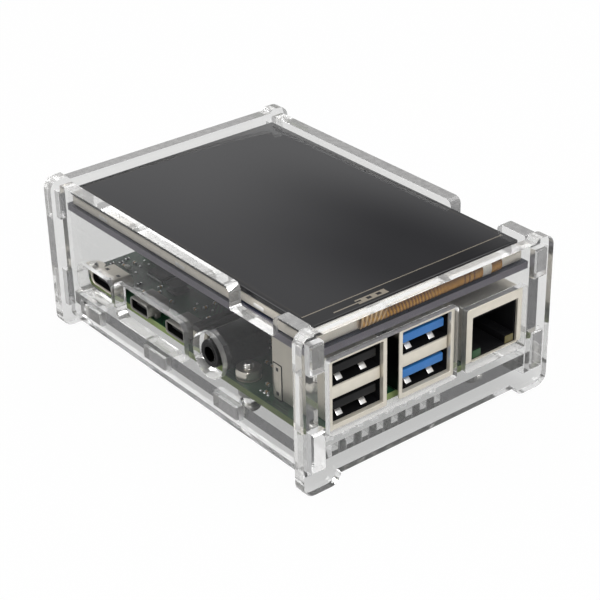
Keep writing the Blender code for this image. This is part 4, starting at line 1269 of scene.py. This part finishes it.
class SCREEN_OT_module(bpy.types.Operator):
    """Screen board, metal frame, glass, ribbon and chips"""
    bl_idname = "computer.screen"
    bl_label = "Touch screen"

    def execute(self, context):
        looks = context.scene.screen_looks
        finish_node("screen_board", finish("navy board", board_finish, (0.004, 0.006, 0.018),
                                           (0.010, 0.014, 0.034), (0.32, 0.30, 0.35)))
        finish_node("screen_socket", black())
        for node in ("screen_driver_chip", "touch_chip"):
            finish_node(node, epoxy())
        steel = finish("panel frame", sheet_metal, (0.82, 0.77, 0.68), 0.35, (0.15, 0.15, 1))
        latch = finish("bright latch", moulding, (0.86, 0.84, 0.80), 0.25)
        glass = finish("cover glass", screen_glass, tuple(looks.off_colour), tuple(looks.bezel_colour),
                       (0.165, 0.145, 0.115))
        film = finish("ribbon film", ribbon_finish, tuple(looks.film_colour), (0.86, 0.40, 0.035))
        cover = block(*corners("screen_glass"), 0.6, 0.18, steps=4)
        for name, shape, look, slot, stands_for in (
                ("panel_frame", metal_frame(), steel, "frame_metal", ["screen_frame"]),
                ("panel_latches", panel_latches(), latch, "frame_metal", []),
                ("cover_glass", cover, glass, "glass_dark", ["screen_glass"]),
                ("ribbon", ribbon_shape(), film, "ribbon_orange", ["screen_ribbon"])):
            make_piece(name, shape, look, "screen_module", stands_for)
        return {"FINISHED"}


# ---------------------------------------------------------------- studio
FLOOR_REACH = 3.0        # metres from here on
FLOOR_DROP = -0.0001
CAMERA_SPOT = (0.253282, -0.196331, 0.191108)
LAMPS = {"left": ((-0.45, -0.35, 0.55), 0.5, 2.8), "right": ((0.55, -0.15, 0.5), 0.35, 3.0),
         "top": ((0.05, 0.35, 0.7), 0.6, 3.2)}


class STAGE_OT_studio(bpy.types.Operator):
    """Floor, lights and camera"""
    bl_idname = "computer.studio"
    bl_label = "Studio"

    def execute(self, context):
        looks, scene = context.scene.stage_looks, context.scene
        self.floor(scene)
        self.surround(scene, looks)
        for name, (spot, size, power) in LAMPS.items():
            lamp = bpy.data.lights.new(name, "AREA")
            lamp.size = size
            lamp.energy = power * looks.brightness
            made = bpy.data.objects.new(name, lamp)
            made.location = spot
            made.rotation_euler = (-Vector(spot)).to_track_quat("-Z", "Y").to_euler()
            scene.collection.objects.link(made)
        self.camera(scene, looks)
        scene.view_settings.view_transform = "Standard"
        return {"FINISHED"}

    def floor(self, scene):
        """Pale sweep that looks white, with painted reflections: greys given by glow to the rays that the
        clear sheets mirror and bend.
        """
        mesh = bpy.data.meshes.new("floor")
        quarters = ((-1, -1), (1, -1), (1, 1), (-1, 1))
        outline = [(x * FLOOR_REACH, y * FLOOR_REACH, FLOOR_DROP) for x, y in quarters]
        mesh.from_pydata(outline, [], [(0, 1, 2, 3)])
        floor = bpy.data.objects.new("floor", mesh)
        scene.collection.objects.link(floor)
        paint = Paint("pale floor")
        seen, through, sharp, mirror, glossy, bent = paint.rays(
            "Is Camera Ray", "Is Transmission Ray", "Is Singular Ray", "Is Reflection Ray", "Glossy Depth",
            "Transmission Depth")
        matt = paint.principled(Base_Color=(0.5, 0.5, 0.5), Roughness=0.9)
        # painted reflections: glowing greys, darker than the white seen straight on, for rays that the clear
        # sheets mirror or bend
        pale = paint.glow(0.80, 0.80, 0.795)
        once = glossy.between(0.5, 1.5, 0.1) * sharp * bent.between(1.5, 2.5, 0.1)
        look = paint.blend(through * 0.7, matt, pale)
        look = paint.blend(glossy.above(0.5, 0.1) * sharp, look, pale)
        look = paint.blend(once, look, paint.glow(0.50, 0.50, 0.50))
        look = paint.blend(mirror * sharp, look, paint.glow(0.10, 0.10, 0.105))
        mesh.materials.append(paint.done(paint.blend(seen * 0.97, look, paint.glow(1, 1, 1))))

    def surround(self, scene, looks):
        """White behind the object, brighter from above than from the sides, with a dim band ahead."""
        world = bpy.data.worlds.new("studio")
        scene.world = world
        world.use_nodes = True
        sky = Paint("studio", world.node_tree)
        x, y, height = sky.split(sky.node("ShaderNodeTexCoord", out="Generated"))
        across = x * cos(looks.azimuth) + y * sin(looks.azimuth)
        seen, bent, sharp = sky.rays("Is Camera Ray", "Transmission Depth", "Is Singular Ray")
        fall = across.above(0.0, 0.13) * height.between(0.3, 0.58, 0.1)
        level = height.above(0.22, 0.34) * 0.64 + 0.2 - fall * 0.53
        strength = seen.most(level).most(bent.above(0.5, 0.1) * sharp * 0.85) * looks.brightness
        background = world.node_tree.nodes["Background"]
        background.inputs["Color"].default_value = (1.0, 1.0, 1.0, 1.0)
        world.node_tree.links.new(strength.socket, background.inputs["Strength"])

    def camera(self, scene, looks):
        """Camera whose axes come from its azimuth, elevation and roll."""
        camera = bpy.data.objects.new("camera", bpy.data.cameras.new("camera"))
        camera.data.sensor_width = 36.0
        camera.data.lens = looks.lens
        camera.data.clip_start, camera.data.clip_end = 0.01, 20.0
        azimuth, elevation, roll = looks.azimuth, looks.elevation, looks.roll
        side = np.array((cos(azimuth), sin(azimuth), 0.0))
        back = np.array((cos(elevation) * sin(azimuth), -cos(elevation) * cos(azimuth), sin(elevation)))
        right = cos(roll) * side + sin(roll) * np.cross(back, side)
        pose = np.column_stack([right, np.cross(back, right), back, CAMERA_SPOT])
        camera.matrix_world = Matrix([*pose.tolist(), [0, 0, 0, 1]])
        scene.collection.objects.link(camera)
        scene.camera = camera


class VIEW3D_PT_computer(bpy.types.Panel):
    """Lists the pieces"""
    bl_idname = "VIEW3D_PT_computer"
    bl_label = "Cased computer"
    bl_space_type = "VIEW_3D"
    bl_region_type = "UI"
    bl_category = "Computer"

    def draw(self, context):
        for step in STEPS:
            self.layout.operator(step.bl_idname)


GROUPS = {"case_looks": CaseLooks, "board_looks": BoardLooks, "port_looks": PortLooks,
          "screen_looks": ScreenLooks, "stage_looks": StageLooks}
STEPS = (STAGE_OT_studio, CASE_OT_sheets, CASE_OT_fasteners, BOARD_OT_board, BOARD_OT_chips, BOARD_OT_headers,
         PORTS_OT_side, PORTS_OT_data, PORTS_OT_network, BOARD_OT_card, SCREEN_OT_module)


def register():
    for made in (*GROUPS.values(), *STEPS, VIEW3D_PT_computer):
        bpy.utils.register_class(made)
    for name, group in GROUPS.items():
        setattr(bpy.types.Scene, name, bpy.props.PointerProperty(type=group))


def unregister():
    for name in GROUPS:
        delattr(bpy.types.Scene, name)
    for made in reversed((*GROUPS.values(), *STEPS, VIEW3D_PT_computer)):
        bpy.utils.unregister_class(made)


def main():
    """Registers the add-on and makes every piece."""
    register()
    for step in STEPS:
        group, name = step.bl_idname.split(".")
        getattr(getattr(bpy.ops, group), name)()


if __name__ == "__main__":
    main()
